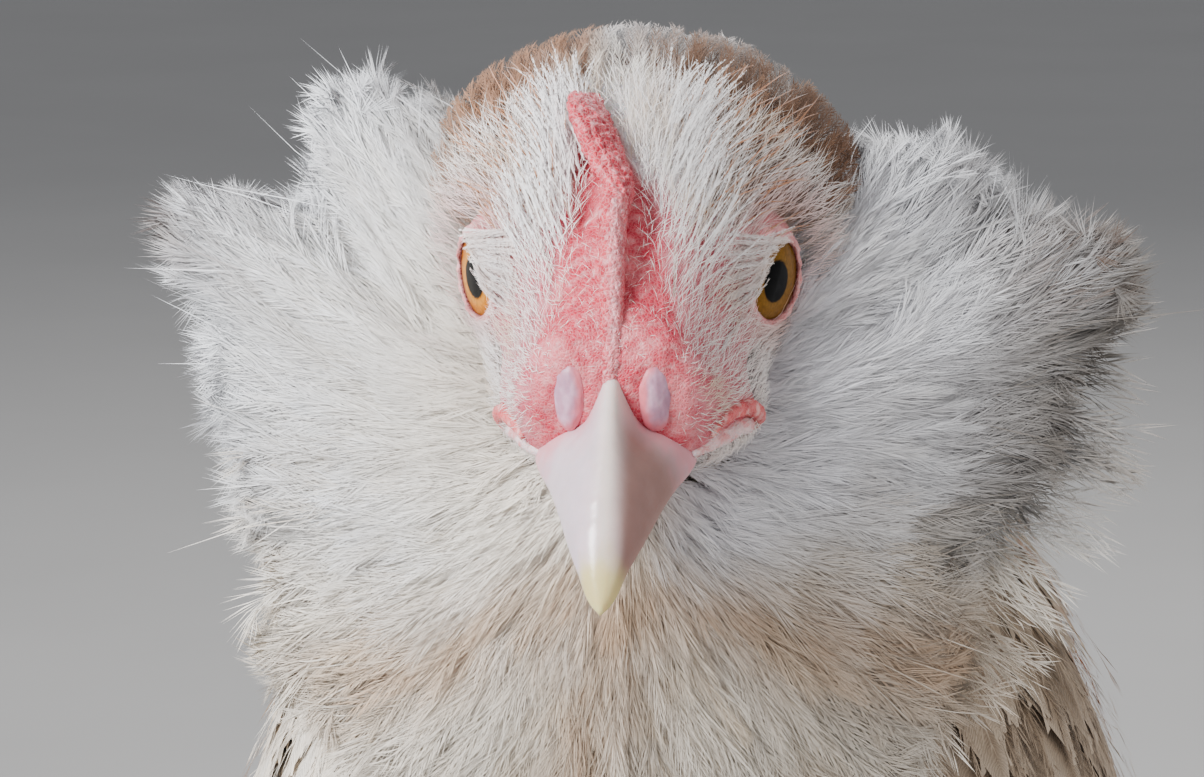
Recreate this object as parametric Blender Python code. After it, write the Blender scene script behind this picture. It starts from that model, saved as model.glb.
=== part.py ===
"""A faverolles hen, life size, standing still with her face towards -Y.

Metres, +Z up, feet on z = 0. The hen is laid out in millimetres in her own stance frame, whose zero lies a
little ahead of the legs, and one empty carries her to the middle of her own box. The head has a frame of its
own between the eyes: x across, forward along the bill and up through the crown. Smooth bodies come first.
Each feathered piece is one of them with vanes or locks rooted in it, cut clear of its neighbours.
"""

import math

import bmesh
import bpy
import numpy as np
from mathutils import Matrix, Vector
from mathutils.bvhtree import BVHTree

MM = 0.001

# Driving dimensions of the whole bird
STANCE_Y = -60.7 * MM
CUT = 0.35 * MM
EYE_HEIGHT = 392 * MM
EYE_Y = -112 * MM
HEAD_PITCH = math.radians(18)
HEAD_YAW = math.radians(5)
LEG_SPREAD = 40 * MM
LEG_BACK = 24 * MM
SIDES = {"left": 1, "right": -1}

# Sections of the torso: y, height of the middle, rise above it, drop below it, half width
TORSO = np.array(
    [
        (-130, 212, 5, 5, 5),
        (-122, 210, 28, 32, 32),
        (-96, 206, 60, 68, 60),
        (-45, 200, 83, 92, 82),
        (15, 196, 91, 98, 88),
        (72, 198, 89, 95, 85),
        (118, 207, 78, 82, 70),
        (152, 222, 57, 57, 46),
        (172, 234, 34, 32, 26),
        (180, 238, 8, 8, 7),
    ]
)

# Sections of the neck from the shoulders to the nape: y, z, half depth, half width, backward lean, and how
# far it bends to her left
NECK = np.array(
    [
        (-46, 220, 58, 66, 0, 0),
        (-50, 262, 54, 61, 8, 3),
        (-56, 302, 45, 55, 10, 6.5),
        (-63, 336, 34, 47, 8, 8),
        (-70, 364, 25, 35, 4, 5),
        (-75, 384, 18, 23, 0, 1.5),
        (-80, 403, 12, 17, 0, -1.5),
        (-85, 412, 5.5, 8, 0, -2.5),
    ]
)

# Sections of the head in its own frame: forward, up, rise, drop, half width
HEAD = np.array(
    [
        (21.5, -6, 3, 3, 3),
        (20, -6, 7.5, 7.5, 8.6),
        (15, -6, 12, 10.5, 12.2),
        (8, -4, 16, 13.5, 14.8),
        (0, -2, 18.5, 15.5, 17),
        (-10, -1, 20.5, 17, 22.5),
        (-20, -1, 21.5, 17, 25.5),
        (-30, -2, 19, 16, 24),
        (-37, -3, 12, 11, 15.5),
        (-40, -3, 4, 4, 5),
    ]
)

# Upper half of the bill in the head's frame: forward, culmen height, edge height, half width
BILL = np.array(
    [
        (14, 0, -12.5, 8.2),
        (20, -1.2, -12.8, 8),
        (26, -3.8, -13.4, 6.3),
        (32, -7.6, -14.3, 4.5),
        (37, -12.2, -15.6, 2.8),
        (40.5, -17.4, -18.2, 0.7),
    ]
)

# Lower half of the bill: forward, edge height, underside, half width
LOWER_BILL = np.array(
    [
        (13, -13, -18.5, 6.8),
        (20, -13.3, -18.6, 6.4),
        (27, -14.1, -18.2, 5),
        (33, -15.1, -17.8, 3.1),
        (36.5, -16.2, -17.4, 1.1),
    ]
)

# Nostrils on the upper bill and the corners of the mouth: across, forward, up
NOSTRIL = (4.6, 20.5, -3.6)
MOUTH_CORNER = (11.5, 11, -13)

# Eye and its lids
EYE_ACROSS = 13.4 * MM
EYE_RADIUS = 4.9 * MM
EYE_FACING = math.radians(64)
LID_THICK = 1.0 * MM

# Comb: forward and up of its base line, its greatest height over it, its points and its lean to one side
COMB_BASE = np.array([(20.5, -1.5), (13, 8.5), (5, 14.5), (-3, 17.3), (-10.5, 18.4)])
COMB_HEIGHT = 6.8 * MM
COMB_POINTS = 5
COMB_HALF_THICK = 2.2 * MM
COMB_LEAN = -5.4 * MM

# Ruff of muffs and beard round the mouth: direction in degrees from the side, reach from the middle,
# forward of the tips
RUFF_MIDDLE = (4, -15)
RUFF = np.array(
    [
        (-90, 51, 13),
        (-65, 56, 9),
        (-45, 60, -1),
        (-34, 59, -9),
        (-17, 58, -17),
        (-5, 55, -21),
        (5, 56, -23),
        (13, 53, -24),
        (23, 46, -25),
        (32, 44, -25),
        (42, 43, -25),
        (50, 40, -25),
        (60, 32, -25),
    ]
)
RUFF_PART = -36

# Tiers of the muffs and of the beard, front to back: locks, first and last direction, where the roots sit
# (distance from the middle, forward), share of the full reach, how far forward of the full tips they stand
MUFF_TIERS = (
    (4, -34, 14, 14, 3, 0.70, 13),
    (6, -35, 38, 17, -5, 0.86, 6.5),
    (7, -35, 58, 20, -14, 1.0, 0),
)
BEARD_TIERS = (
    (4, -60, -120, 7, 9, 0.60, 7),
    (5, -52, -128, 10, 5, 0.76, 4.5),
    (6, -43, -137, 13, -1, 0.9, 2.2),
    (7, -38, -142, 15, -7, 1.0, 0),
)
LOCK_SPREAD = 0.74
LOCK_THICK = 0.8 * MM
LOCK_ROLL = 0.25

# Hackle tiers down the neck: feathers, first and last direction round the neck (90 is the back), height of
# the roots at the sides and at the back, and the height and the distance back of the tips at the back
HACKLE_TIERS = (
    (8, -20, 200, 356, 356, 298, -22),
    (9, -12, 192, 322, 322, 284, -2),
    (6, 22, 158, 296, 300, 282, 22),
)
HACKLE_LIFTS = (-3, 0.8, 2.8, 3.3)

# Wing feathers in tiers, from under to over: feathers, root (y, z) of the lowest, step to the next, tip of
# the lowest, step to the next, half width, stand-off from the flank, and how far the roots are sunk
WING_TIERS = (
    (3, (25, 199), (4, 6), (128, 223), (10, 10), 9, 2.4, 2.5),
    (6, (-10, 196), (7, 9.6), (84, 201), (9, 9.6), 9.8, 6.2, 4),
    (5, (-46, 197), (9, 11), (14, 199), (9.5, 12), 10.5, 10, 5),
    (5, (-60, 202), (6, 10), (-16, 204), (7, 11), 10, 13.4, 9),
)
WING_ROLL = 0.15

# Body of the folded wing under its feathers: y, height of its middle, half height, stand-off from the flank
WING = np.array(
    [
        (-76, 226, 8, 1),
        (-66, 226, 24, 7),
        (-35, 224, 36, 9),
        (10, 224, 35, 8),
        (50, 228, 28, 6),
        (85, 233, 16, 4),
        (100, 236, 4, 1.5),
    ]
)

# Tail: root (y, z), mean slope, quills a side, slope of the lowest and step in degrees, stand-off of the
# lowest from the middle plane and step, length of the lowest and step, half width, how far the faces turn up
TAIL_ROOT = (146, 250)
TAIL_SLOPE = 47
TAIL_QUILLS = 7
TAIL_FAN = (29, 5.0)
TAIL_OUT = (20, -2.5)
TAIL_LENGTH = (120, 3)
TAIL_HALF_WIDTH = 14
TAIL_ROLL = 0.6

# Stump of the tail: distance along it, rise, drop, half width
TAIL_STUMP = ((-34, 24, 28, 30), (-10, 28, 32, 32), (15, 27, 29, 27), (38, 20, 21, 18), (50, 11, 12, 9))

# Tail coverts, each on a quill of its own: first quill, share of its length, stand-off from its face
TAIL_COVERTS = ((1, 0.62, 1.7), (4, 0.4, 3.2))

# Thigh, from inside the body to the hock: y, z, half depth, half width
THIGH = np.array(
    [
        (6, 172, 58, 41),
        (4, 142, 58, 41),
        (8, 116, 48, 36),
        (15, 97, 29, 25),
        (20, 87, 14, 13),
    ]
)

# Shank and foot pad: y, z, half depth, half width
SHANK = np.array(
    [
        (20, 98, 9, 8),
        (19, 88, 8.4, 7.4),
        (13, 62, 7, 6.6),
        (6, 34, 7, 6.8),
        (2, 18, 9.4, 9),
        (0, 9, 12.5, 12),
        (0, 0, 12, 11.5),
    ]
)
SCUTES = 7

# Feathers of the shank and the outer toe: height of the root, direction (0 ahead, 90 outwards), length, droop
FOOT_FEATHERS = (
    (76, 120, 15, 26),
    (66, 88, 16, 28),
    (52, 118, 18, 28),
    (40, 86, 20, 26),
    (26, 112, 24, 20),
    (15, 84, 28, 10),
)

# Toes: degrees turned inwards from straight ahead, length without claw, thickness, degrees that it rises
TOES = {
    1: (168, 19, 3.6, 0),
    2: (37, 36, 4.2, 0),
    3: (1, 50, 4.5, 0),
    4: (-37, 40, 4.1, 0),
    5: (142, 24, 3.2, 24),
}
TOE_START = 11 * MM
CLAW_LENGTH = 13 * MM

# Faces of a joined piece that turn by less than this many degrees from one to the next are merged
FLAT = 1.5

rng = np.random.default_rng(11)


def clear_scene():
    for old in list(bpy.data.objects):
        bpy.data.objects.remove(old)


def finish(name, colour, roughness):
    """A plain material of one colour."""
    material = bpy.data.materials.new(name)
    material.use_nodes = True
    shader = material.node_tree.nodes["Principled BSDF"]
    shader.inputs["Base Color"].default_value = (*colour, 1)
    shader.inputs["Roughness"].default_value = roughness
    shader.inputs["Metallic"].default_value = 0
    return material


def between(table, at, column):
    """One column of a table, read at a place between its rows on a smooth curve that doesn't overshoot."""
    keys, values = table[:, 0], table[:, column]
    if keys[0] > keys[-1]:
        keys, values = keys[::-1], values[::-1]
    steps = np.diff(keys)
    slopes = np.diff(values) / steps
    tangents = np.concatenate([slopes[:1], (slopes[:-1] + slopes[1:]) / 2, slopes[-1:]])
    turns = np.concatenate([[False], slopes[:-1] * slopes[1:] <= 0, [False]])
    tangents[turns] = 0
    i = int(np.clip(np.searchsorted(keys, at) - 1, 0, len(steps) - 1))
    t = float(np.clip((at - keys[i]) / steps[i], 0, 1))
    start, end = values[i], values[i + 1]
    leave, arrive = tangents[i] * steps[i], tangents[i + 1] * steps[i]
    return (
        start * (2 * t**3 - 3 * t**2 + 1)
        + leave * (t**3 - 2 * t**2 + t)
        + end * (3 * t**2 - 2 * t**3)
        + arrive * (t**3 - t**2)
    )


def rows(table):
    """The same table, keyed by the number of its row."""
    return np.column_stack([np.arange(len(table)), table])


def wobble(size):
    return float(rng.uniform(-size, size))


# Meshes


def add_object(name, shape, material=None):
    mesh = bpy.data.meshes.new(name)
    shape.to_mesh(mesh)
    shape.free()
    if material:
        mesh.materials.append(material)
    thing = bpy.data.objects.new(name, mesh)
    bpy.context.scene.collection.objects.link(thing)
    return thing


def ring(centre, across, up, half_width, rise, drop, sides):
    """Points of an oval section, with its own rise above the centre and drop below it."""
    points = []
    for k in range(sides):
        angle = 2 * math.pi * k / sides
        height = math.sin(angle)
        reach = rise if height > 0 else drop
        points.append(centre + across * (half_width * math.cos(angle)) + up * (reach * height))
    return points


def loft(name, rings, material=None, closed=False):
    """A body through rings of equal count: capped flat at each end, or closed on itself."""
    shape = bmesh.new()
    loops = [[shape.verts.new(point) for point in points] for points in rings]
    count = len(loops[0])
    following = loops[1:] + (loops[:1] if closed else [])
    for first, second in zip(loops, following):
        for k in range(count):
            n = (k + 1) % count
            shape.faces.new((first[k], first[n], second[n], second[k]))
    if not closed:
        shape.faces.new(loops[0][::-1])
        shape.faces.new(loops[-1])
    bmesh.ops.recalc_face_normals(shape, faces=shape.faces)
    return add_object(name, shape, material)


def blade(name, centres, normals, half_widths, half_thicks):
    """A thin plate along a line of points, of four corners a section, both faces split on like diagonals."""
    shape = bmesh.new()
    sections = []
    for k, (centre, normal) in enumerate(zip(centres, normals)):
        along = centres[min(k + 1, len(centres) - 1)] - centres[max(k - 1, 0)]
        across = along.cross(normal).normalized()
        out = across.cross(along).normalized()
        side, lift = across * half_widths[k], out * half_thicks[k]
        corners = (centre - side + lift, centre + side + lift, centre + side - lift, centre - side - lift)
        sections.append([shape.verts.new(corner) for corner in corners])
    for (a, b, c, d), (e, f, g, h) in zip(sections[:-1], sections[1:]):
        for face in ((a, b, f), (a, f, e), (d, h, g), (d, g, c), (b, c, g), (b, g, f), (d, a, e), (d, e, h)):
            shape.faces.new(face)
    first, last = sections[0], sections[-1]
    for face in (
        (first[0], first[3], first[2]), (first[0], first[2], first[1]),
        (last[0], last[1], last[2]), (last[0], last[2], last[3]),
    ):
        shape.faces.new(face)
    bmesh.ops.recalc_face_normals(shape, faces=shape.faces)
    return add_object(name, shape)


def ball(name, centre, radii, axes=None, segments=12, stacks=8, material=None):
    """An oval ball, its radii along the three axes given."""
    shape = bmesh.new()
    bmesh.ops.create_uvsphere(shape, u_segments=segments, v_segments=stacks, radius=1)
    turn = Matrix([list(axis) for axis in axes]).transposed() if axes else Matrix.Identity(3)
    place = Matrix.Translation(centre) @ (turn @ Matrix.Diagonal(radii)).to_4x4()
    bmesh.ops.transform(shape, matrix=place, verts=shape.verts)
    bmesh.ops.recalc_face_normals(shape, faces=shape.faces)
    return add_object(name, shape, material)


def box(name, centre, axes, sizes):
    shape = bmesh.new()
    bmesh.ops.create_cube(shape, size=1)
    turn = Matrix([list(axis) for axis in axes]).transposed()
    place = Matrix.Translation(centre) @ (turn @ Matrix.Diagonal(sizes)).to_4x4()
    bmesh.ops.transform(shape, matrix=place, verts=shape.verts)
    bmesh.ops.recalc_face_normals(shape, faces=shape.faces)
    return guide(add_object(name, shape))


def guide(thing):
    """Marks a helper that is no part of the bird."""
    thing.hide_render = True
    thing.display_type = "WIRE"
    return thing


def room(thing, grow=CUT):
    """The space that a neighbour leaves free: the same surface, moved out along its normals."""
    mesh = thing.data.copy()
    normals = np.zeros(3 * len(mesh.vertices))
    points = np.zeros(3 * len(mesh.vertices))
    mesh.vertices.foreach_get("normal", normals)
    mesh.vertices.foreach_get("co", points)
    mesh.vertices.foreach_set("co", points + normals * grow)
    cutter = bpy.data.objects.new(thing.name + "_room", mesh)
    bpy.context.scene.collection.objects.link(cutter)
    return guide(cutter)


def tree_of(things):
    """A search tree over the surfaces of some objects."""
    points, faces = [], []
    for thing in things:
        start = len(points)
        points.extend(vertex.co.copy() for vertex in thing.data.vertices)
        faces.extend([start + index for index in face.vertices] for face in thing.data.polygons)
    return BVHTree.FromPolygons(points, faces)


def keep_largest(thing):
    """Leaves the closed surface with the most area, drops the rest and merges its nearly flat faces."""
    shape = bmesh.new()
    shape.from_mesh(thing.data)
    left, islands = set(shape.faces), []
    while left:
        island, edge = [], [left.pop()]
        while edge:
            face = edge.pop()
            island.append(face)
            near = {f for side in face.edges for f in side.link_faces if f in left}
            left -= near
            edge.extend(near)
        islands.append(island)
    islands.sort(key=lambda island: sum(face.calc_area() for face in island))
    for island in islands[:-1]:
        bmesh.ops.delete(shape, geom=island, context="FACES")
    bmesh.ops.dissolve_limit(shape, angle_limit=math.radians(FLAT), verts=shape.verts, edges=shape.edges)
    bmesh.ops.triangulate(shape, faces=shape.faces)
    shape.to_mesh(thing.data)
    shape.free()


def apply_modifiers(thing):
    graph = bpy.context.evaluated_depsgraph_get()
    mesh = bpy.data.meshes.new_from_object(thing.evaluated_get(graph))
    thing.modifiers.clear()
    thing.data = mesh


def fuse(name, pieces, cutters, material):
    """Joins pieces by one union, takes the cutters away and keeps the largest closed surface."""
    body, others = pieces[0], pieces[1:]
    body.name = name
    if others:
        group = bpy.data.collections.new(name + "_pieces")
        bpy.context.scene.collection.children.link(group)
        for piece in others:
            bpy.context.scene.collection.objects.unlink(piece)
            group.objects.link(piece)
        join = body.modifiers.new("join", "BOOLEAN")
        join.operation = "UNION"
        join.solver = "MANIFOLD"
        join.operand_type = "COLLECTION"
        join.collection = group
    for cutter in cutters:
        cut = body.modifiers.new("cut", "BOOLEAN")
        cut.operation = "DIFFERENCE"
        cut.solver = "MANIFOLD"
        cut.object = cutter
    apply_modifiers(body)
    keep_largest(body)
    for piece in others:
        bpy.data.objects.remove(piece)
    body.data.materials.clear()
    body.data.materials.append(material)
    return body


# Head, bill, eyes and comb


def head_point(x, forward, up):
    """A point of the head's frame, in millimetres, in the stance frame."""
    turn = Matrix.Rotation(-HEAD_YAW, 4, "Z") @ Matrix.Rotation(HEAD_PITCH, 4, "X")
    place = Matrix.Translation((0, EYE_Y, EYE_HEIGHT)) @ turn
    return place @ Vector((x * MM, -forward * MM, up * MM))


def head_direction(x, forward, up):
    return (head_point(x, forward, up) - head_point(0, 0, 0)).normalized()


ACROSS, FORWARD, UP = head_direction(1, 0, 0), head_direction(0, 1, 0), head_direction(0, 0, 1)


def eye_centre(side):
    return head_point(side * EYE_ACROSS / MM, 0, 0)


def eye_axis(side):
    return head_direction(side * math.sin(EYE_FACING), math.cos(EYE_FACING), 0)


def lid_ring(side):
    """The lids round one eye, as a ring that lies on the ball."""
    axis = eye_axis(side)
    middle = eye_centre(side) + axis * (EYE_RADIUS * 0.52)
    across = UP.cross(axis).normalized()
    radius, rings = EYE_RADIUS * 1.02, []
    for k in range(12):
        angle = 2 * math.pi * k / 12
        outward = across * math.cos(angle) + UP * math.sin(angle)
        rings.append(ring(middle + outward * radius, outward, axis, LID_THICK, LID_THICK, LID_THICK, 5))
    return loft("lids", rings, closed=True)


def mouth_line(side):
    """A thin slot behind the bill's corner, which carries the line of the mouth into the cheek."""
    corner = head_point(side * MOUTH_CORNER[0], *MOUTH_CORNER[1:])
    along = head_direction(side * 0.45, -0.85, -0.12)
    across = along.cross(UP).normalized()
    return box("mouth_line", corner, (along, across, across.cross(along)), (8 * MM, 7 * MM, 0.7 * MM))


def head(cutters, material):
    """The head without bill, comb and eyes, lofted from the face to the nape, with its lids."""
    rings = []
    for forward in np.linspace(HEAD[0, 0], HEAD[-1, 0], 13):
        up, rise, drop, half = (between(HEAD, forward, k) * MM for k in (1, 2, 3, 4))
        rings.append(ring(head_point(0, forward, up / MM), ACROSS, UP, half, rise, drop, 16))
    lids = [lid_ring(side) for side in SIDES.values()]
    return fuse("head", [loft("head", rings), *lids], cutters, material)


def bill_half(name, table, extras, cutters, material):
    """One half of the bill: a half oval on the line where the halves meet."""
    rings = []
    for forward in np.linspace(table[0, 0], table[-1, 0], 9):
        top, bottom, half = (between(table, forward, k) for k in (1, 2, 3))
        upper = table is BILL
        depth = (top - bottom) * MM
        rise, drop = (depth, 0.1 * MM) if upper else (0.1 * MM, depth)
        centre = head_point(0, forward, bottom if upper else top)
        rings.append(ring(centre, ACROSS, UP, half * MM, rise, drop, 12))
    return fuse(name, [loft(name, rings), *extras], cutters, material)


def nostril_cover(side):
    """The raised scale over a nostril."""
    centre = head_point(side * NOSTRIL[0], NOSTRIL[1], NOSTRIL[2])
    outward = head_direction(side * 0.75, 0.3, 0.6)
    along = head_direction(side * -0.25, 0.75, -0.6)
    across = outward.cross(along).normalized()
    return ball("nostril_cover", centre, (1.9 * MM, 3.6 * MM, 1.7 * MM), (across, along, outward), 8, 5)


def nostril_slit(side):
    """The slot of a nostril, under the lower edge of its scale."""
    centre = head_point(side * (NOSTRIL[0] + 0.2), NOSTRIL[1] + 2.6, NOSTRIL[2] - 2.2)
    along = head_direction(side * 0.35, 0.6, -0.7)
    outward = head_direction(side * 0.8, 0.45, 0.35)
    return box("nostril_slit", centre, (along, along.cross(outward), outward), (3.4 * MM, 0.9 * MM, 3 * MM))


def comb(cutters, material):
    """A low single comb: a blade along its base line, its edge cut into points, its back leaning over."""
    rings = []
    table = np.column_stack([np.linspace(0, 1, len(COMB_BASE)), COMB_BASE])
    for step in np.linspace(0, 1, 4 * COMB_POINTS + 1):
        forward, up = between(table, step, 1), between(table, step, 2)
        swell = math.sin(math.pi * min(1, step * 0.9 + 0.07)) ** 0.7
        notch = abs(math.cos(math.pi * COMB_POINTS * step))
        height = COMB_HEIGHT * swell * (0.62 + 0.38 * notch)
        thick = COMB_HALF_THICK * (0.45 + 0.55 * swell)
        lean = ACROSS * (COMB_LEAN * swell * step)
        foot = head_point(0, forward, up - 2)
        rise = head_direction(0, 0.35, 1) * (height + 2 * MM)
        shares = ((0, 1), (0.6, 0.8), (1, 0.4), (1, -0.4), (0.6, -0.8), (0, -1))
        rings.append([foot + rise * r + ACROSS * (thick * w) + lean * r**1.5 for r, w in shares])
    return fuse("comb", [loft("comb", rings)], cutters, material)


# Muffs and beard


def ruff_tip(degrees):
    """Where the ruff ends in this direction, in the head's frame: across, forward, up."""
    mirrored = degrees if degrees >= -90 else -180 - degrees
    reach, forward = between(RUFF, mirrored, 1), between(RUFF, mirrored, 2)
    angle = math.radians(degrees)
    return reach * math.cos(angle), forward, RUFF_MIDDLE[1] + reach * math.sin(angle)


def ruff_lock(side, degrees, gap, root_out, root_forward, share, ahead):
    """One flat lock of the ruff, from the cheek out to its tip, bowed forward and lapping over the next."""
    x, forward, up = ruff_tip(degrees)
    angle = math.radians(degrees)
    share *= 1 + wobble(0.05)
    middle = Vector((0, 0, RUFF_MIDDLE[1]))
    root = Vector((root_out * math.cos(angle), root_forward, RUFF_MIDDLE[1] + root_out * math.sin(angle)))
    tip = middle + (Vector((x, 0, up)) - middle) * share
    tip.y = forward + ahead + wobble(0.8)
    bend = root.lerp(tip, 0.5) + Vector((0, 7, 0))
    line = [root * (1 - t) ** 2 + bend * (2 * t * (1 - t)) + tip * t**2 for t in (0, 0.35, 0.68, 1)]
    centres = [head_point(side * p.x, p.y, p.z) for p in line]
    roll = LOCK_ROLL
    facing = head_direction(-side * roll * math.sin(angle), 1, roll * math.cos(angle))
    half = LOCK_SPREAD * math.radians(gap) * 0.66 * (tip - middle).length * MM
    widths = [half * w for w in (0.62, 1, 0.92, 0.12)]
    thicks = [LOCK_THICK * w for w in (1, 1, 0.8, 0.35)]
    return blade("lock", centres, [facing] * 4, widths, thicks)


def ruff_piece(name, core, tiers, side, cutters, material):
    """A core with tiers of locks. The tiers behind have the full reach, and each one ahead is shorter."""
    pieces = [core]
    for count, first, last, root_out, root_forward, share, ahead in tiers:
        gap = abs(last - first) / count
        for k in range(count):
            degrees = first + (last - first) * (k + 0.5 + wobble(0.1)) / count
            pieces.append(ruff_lock(side, degrees, gap, root_out, root_forward, share, ahead))
    return fuse(name, pieces, cutters, material)


def ruff_plane(side, upper):
    """A half space over or under the parting between a muff and the beard."""
    angle = math.radians(RUFF_PART)
    along = head_direction(side * math.cos(angle), 0, math.sin(angle))
    normal = head_direction(-side * math.sin(angle), 0, math.cos(angle))
    deep = 0.15
    offset = (deep / 2 - CUT / 2) * (1 if upper else -1)
    centre = head_point(0, 0, RUFF_MIDDLE[1]) + normal * offset
    return box("ruff_plane", centre, (along, FORWARD, normal), (2 * deep, 2 * deep, deep))


def muff(label, side, cutters, material):
    axes = (ACROSS, FORWARD, UP)
    core = ball("muff_core", head_point(side * 22, -8, -14), (13 * MM, 12 * MM, 21 * MM), axes, 14, 8)
    middle = box("middle_plane", head_point(-side * 50, 0, 0), axes, (100 * MM, 0.3, 0.3))
    eye_space = guide(ball("eye_space", eye_centre(side) + eye_axis(side) * 4 * MM, (8.5 * MM,) * 3))
    cutters = [*cutters, ruff_plane(side, False), middle, eye_space]
    return ruff_piece(f"muff_{label}", core, MUFF_TIERS, side, cutters, material)


def beard(cutters, material):
    axes = (ACROSS, FORWARD, UP)
    core = ball("beard_core", head_point(0, 1, -27), (24 * MM, 15 * MM, 12 * MM), axes, 14, 8)
    planes = [ruff_plane(side, True) for side in SIDES.values()]
    return ruff_piece("beard", core, BEARD_TIERS, 1, [*cutters, *planes], material)


# Torso, neck and hackle


def torso(material):
    """The trunk, lofted along y."""
    rings = []
    for y in np.linspace(TORSO[0, 0], TORSO[-1, 0], 18):
        middle, rise, drop, half = (between(TORSO, y, k) * MM for k in (1, 2, 3, 4))
        centre = Vector((0, y * MM, middle))
        rings.append(ring(centre, Vector((1, 0, 0)), Vector((0, 0, 1)), half, rise, drop, 22))
    return loft("torso", rings, material)


def neck_core():
    """The neck, lofted from the shoulders to the nape."""
    rings = []
    for step in np.linspace(0, len(NECK) - 1, 13):
        y, z, depth, half, lean, x = (between(rows(NECK), step, k) for k in (1, 2, 3, 4, 5, 6))
        back = Vector((0, math.cos(math.radians(lean)), math.sin(math.radians(lean))))
        centre = Vector((x, y, z)) * MM
        rings.append(ring(centre, Vector((1, 0, 0)), back, half * MM, depth * MM, depth * MM, 18))
    return loft("neck", rings)


def neck_point(z, degrees, out):
    """A point off the neck at this height and this way round it (0 is the left, 90 the back)."""
    table = NECK[:, [1, 0, 2, 3, 5]]
    y, depth, half, x = (between(table, z, k) for k in (1, 2, 3, 4))
    angle = math.radians(degrees)
    return Vector((x + (half + out) * math.cos(angle), y + (depth + out) * math.sin(angle), z)) * MM


def laid(points, skin, lifts):
    """A line of points laid on a skin, each lifted by its own amount, and the skin's normals there."""
    centres, normals = [], []
    for point, lift in zip(points, lifts):
        place, normal, _, _ = skin.find_nearest(point)
        centres.append(place + normal * lift * MM)
        normals.append(normal)
    smooth = [normals[0]]
    for before, here, after in zip(normals[:-2], normals[1:-1], normals[2:]):
        smooth.append((before + here * 2 + after).normalized())
    return centres, [*smooth, normals[-1]]


def hackle(skin):
    """Pointed neck feathers in tiers, the lowest of which spread over the shoulders."""
    pieces = []
    for count, first, last, side_root, back_root, back_tip, back_reach in HACKLE_TIERS:
        for k in range(count):
            degrees = first + (last - first) * (k + 0.5 + wobble(0.15)) / count
            backness = max(0.0, math.sin(math.radians(degrees)))
            root_z = side_root + (back_root - side_root) * backness
            root = neck_point(root_z, degrees, 0)
            tip = neck_point(root_z - 56, degrees, 4)
            tip.z += (back_tip * MM + 4 * MM - tip.z) * backness**2
            tip.y += (back_reach * MM - tip.y) * backness**2
            rise = Vector((0, 0, 6 * MM * backness))
            line = [root.lerp(tip, t) + rise * (t * (1 - t)) for t in (0, 0.35, 0.75, 1)]
            centres, normals = laid(line, skin, HACKLE_LIFTS)
            widths = [9 * MM * w * (1 + wobble(0.06)) for w in (0.8, 1, 0.85, 0.12)]
            pieces.append(blade("hackle", centres, normals, widths, [t * MM for t in (0.8, 0.7, 0.55, 0.3)]))
    return pieces


# Wings and tail


def flank(y, z, side, lift):
    """A point over the trunk's side at this y and height, lifted off along its normal, and that normal."""

    def on_side(y, z):
        middle, rise, drop, half = (between(TORSO, y, k) for k in (1, 2, 3, 4))
        share = (z - middle) / (rise if z > middle else drop)
        return Vector((side * half * math.sqrt(max(0.02, 1 - share * share)), y, z))

    here = on_side(y, z)
    along, upward = on_side(y + 1, z) - on_side(y - 1, z), on_side(y, z + 1) - on_side(y, z - 1)
    normal = along.cross(upward).normalized()
    if normal.x * side < 0:
        normal = -normal
    return (here + normal * lift) * MM, normal


def wing_vane(side, root, tip, half_width, lift, sunk):
    """One flat feather on the folded wing: bowed over it, its lower edge standing out over the next."""
    centres, normals = [], []
    for t, rise in ((0, -sunk), (0.35, 0), (0.75, 0.3), (1, 0)):
        y, z = root[0] + (tip[0] - root[0]) * t, root[1] + (tip[1] - root[1]) * t - 5 * t * (1 - t)
        centre, normal = flank(y, z, side, lift + rise)
        centres.append(centre)
        normals.append((normal + Vector((0, 0, WING_ROLL))).normalized())
    widths = [half_width * MM * w for w in (0.7, 1, 0.95, 0.3)]
    return blade("wing_vane", centres, normals, widths, [t * MM for t in (0.45, 0.42, 0.38, 0.27)])


def wing(label, side, cutters, material):
    """The folded wing: a low body on the flank, under tiers of quills and coverts."""
    rings = []
    for y in np.linspace(WING[0, 0], WING[-1, 0], 11):
        middle, half, lift = (between(WING, y, k) for k in (1, 2, 3))
        outer = [(share, 1 - share**4) for share in (-1, -0.6, 0, 0.6, 1)]
        points = [flank(y, middle + share * half, side, 0.5 + lift * full)[0] for share, full in outer]
        points += [flank(y, middle + share * half, side, -4)[0] for share in (0.8, -0.8)]
        rings.append(points)
    pieces = [loft("wing", rings)]
    for count, root, root_step, tip, tip_step, half_width, lift, sunk in WING_TIERS:
        for k in range(count):
            start = (root[0] + root_step[0] * k, root[1] + root_step[1] * k)
            end = (tip[0] + tip_step[0] * k + wobble(2), tip[1] + tip_step[1] * k + wobble(0.4))
            pieces.append(wing_vane(side, start, end, half_width, lift, sunk))
    return fuse(f"wing_{label}", pieces, cutters, material)


def tail_core():
    """The stump of the tail: a low wedge on the rump, at the tail's slope."""
    slope = math.radians(TAIL_SLOPE)
    back, up = Vector((0, math.cos(slope), math.sin(slope))), Vector((0, -math.sin(slope), math.cos(slope)))
    root = Vector((0, TAIL_ROOT[0] * MM, TAIL_ROOT[1] * MM))
    rings = []
    for along, *reach in TAIL_STUMP:
        rise, drop, half = (size * MM for size in reach)
        rings.append(ring(root + back * (along * MM), Vector((1, 0, 0)), up, half, rise, drop, 14))
    return loft("tail_core", rings)


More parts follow.
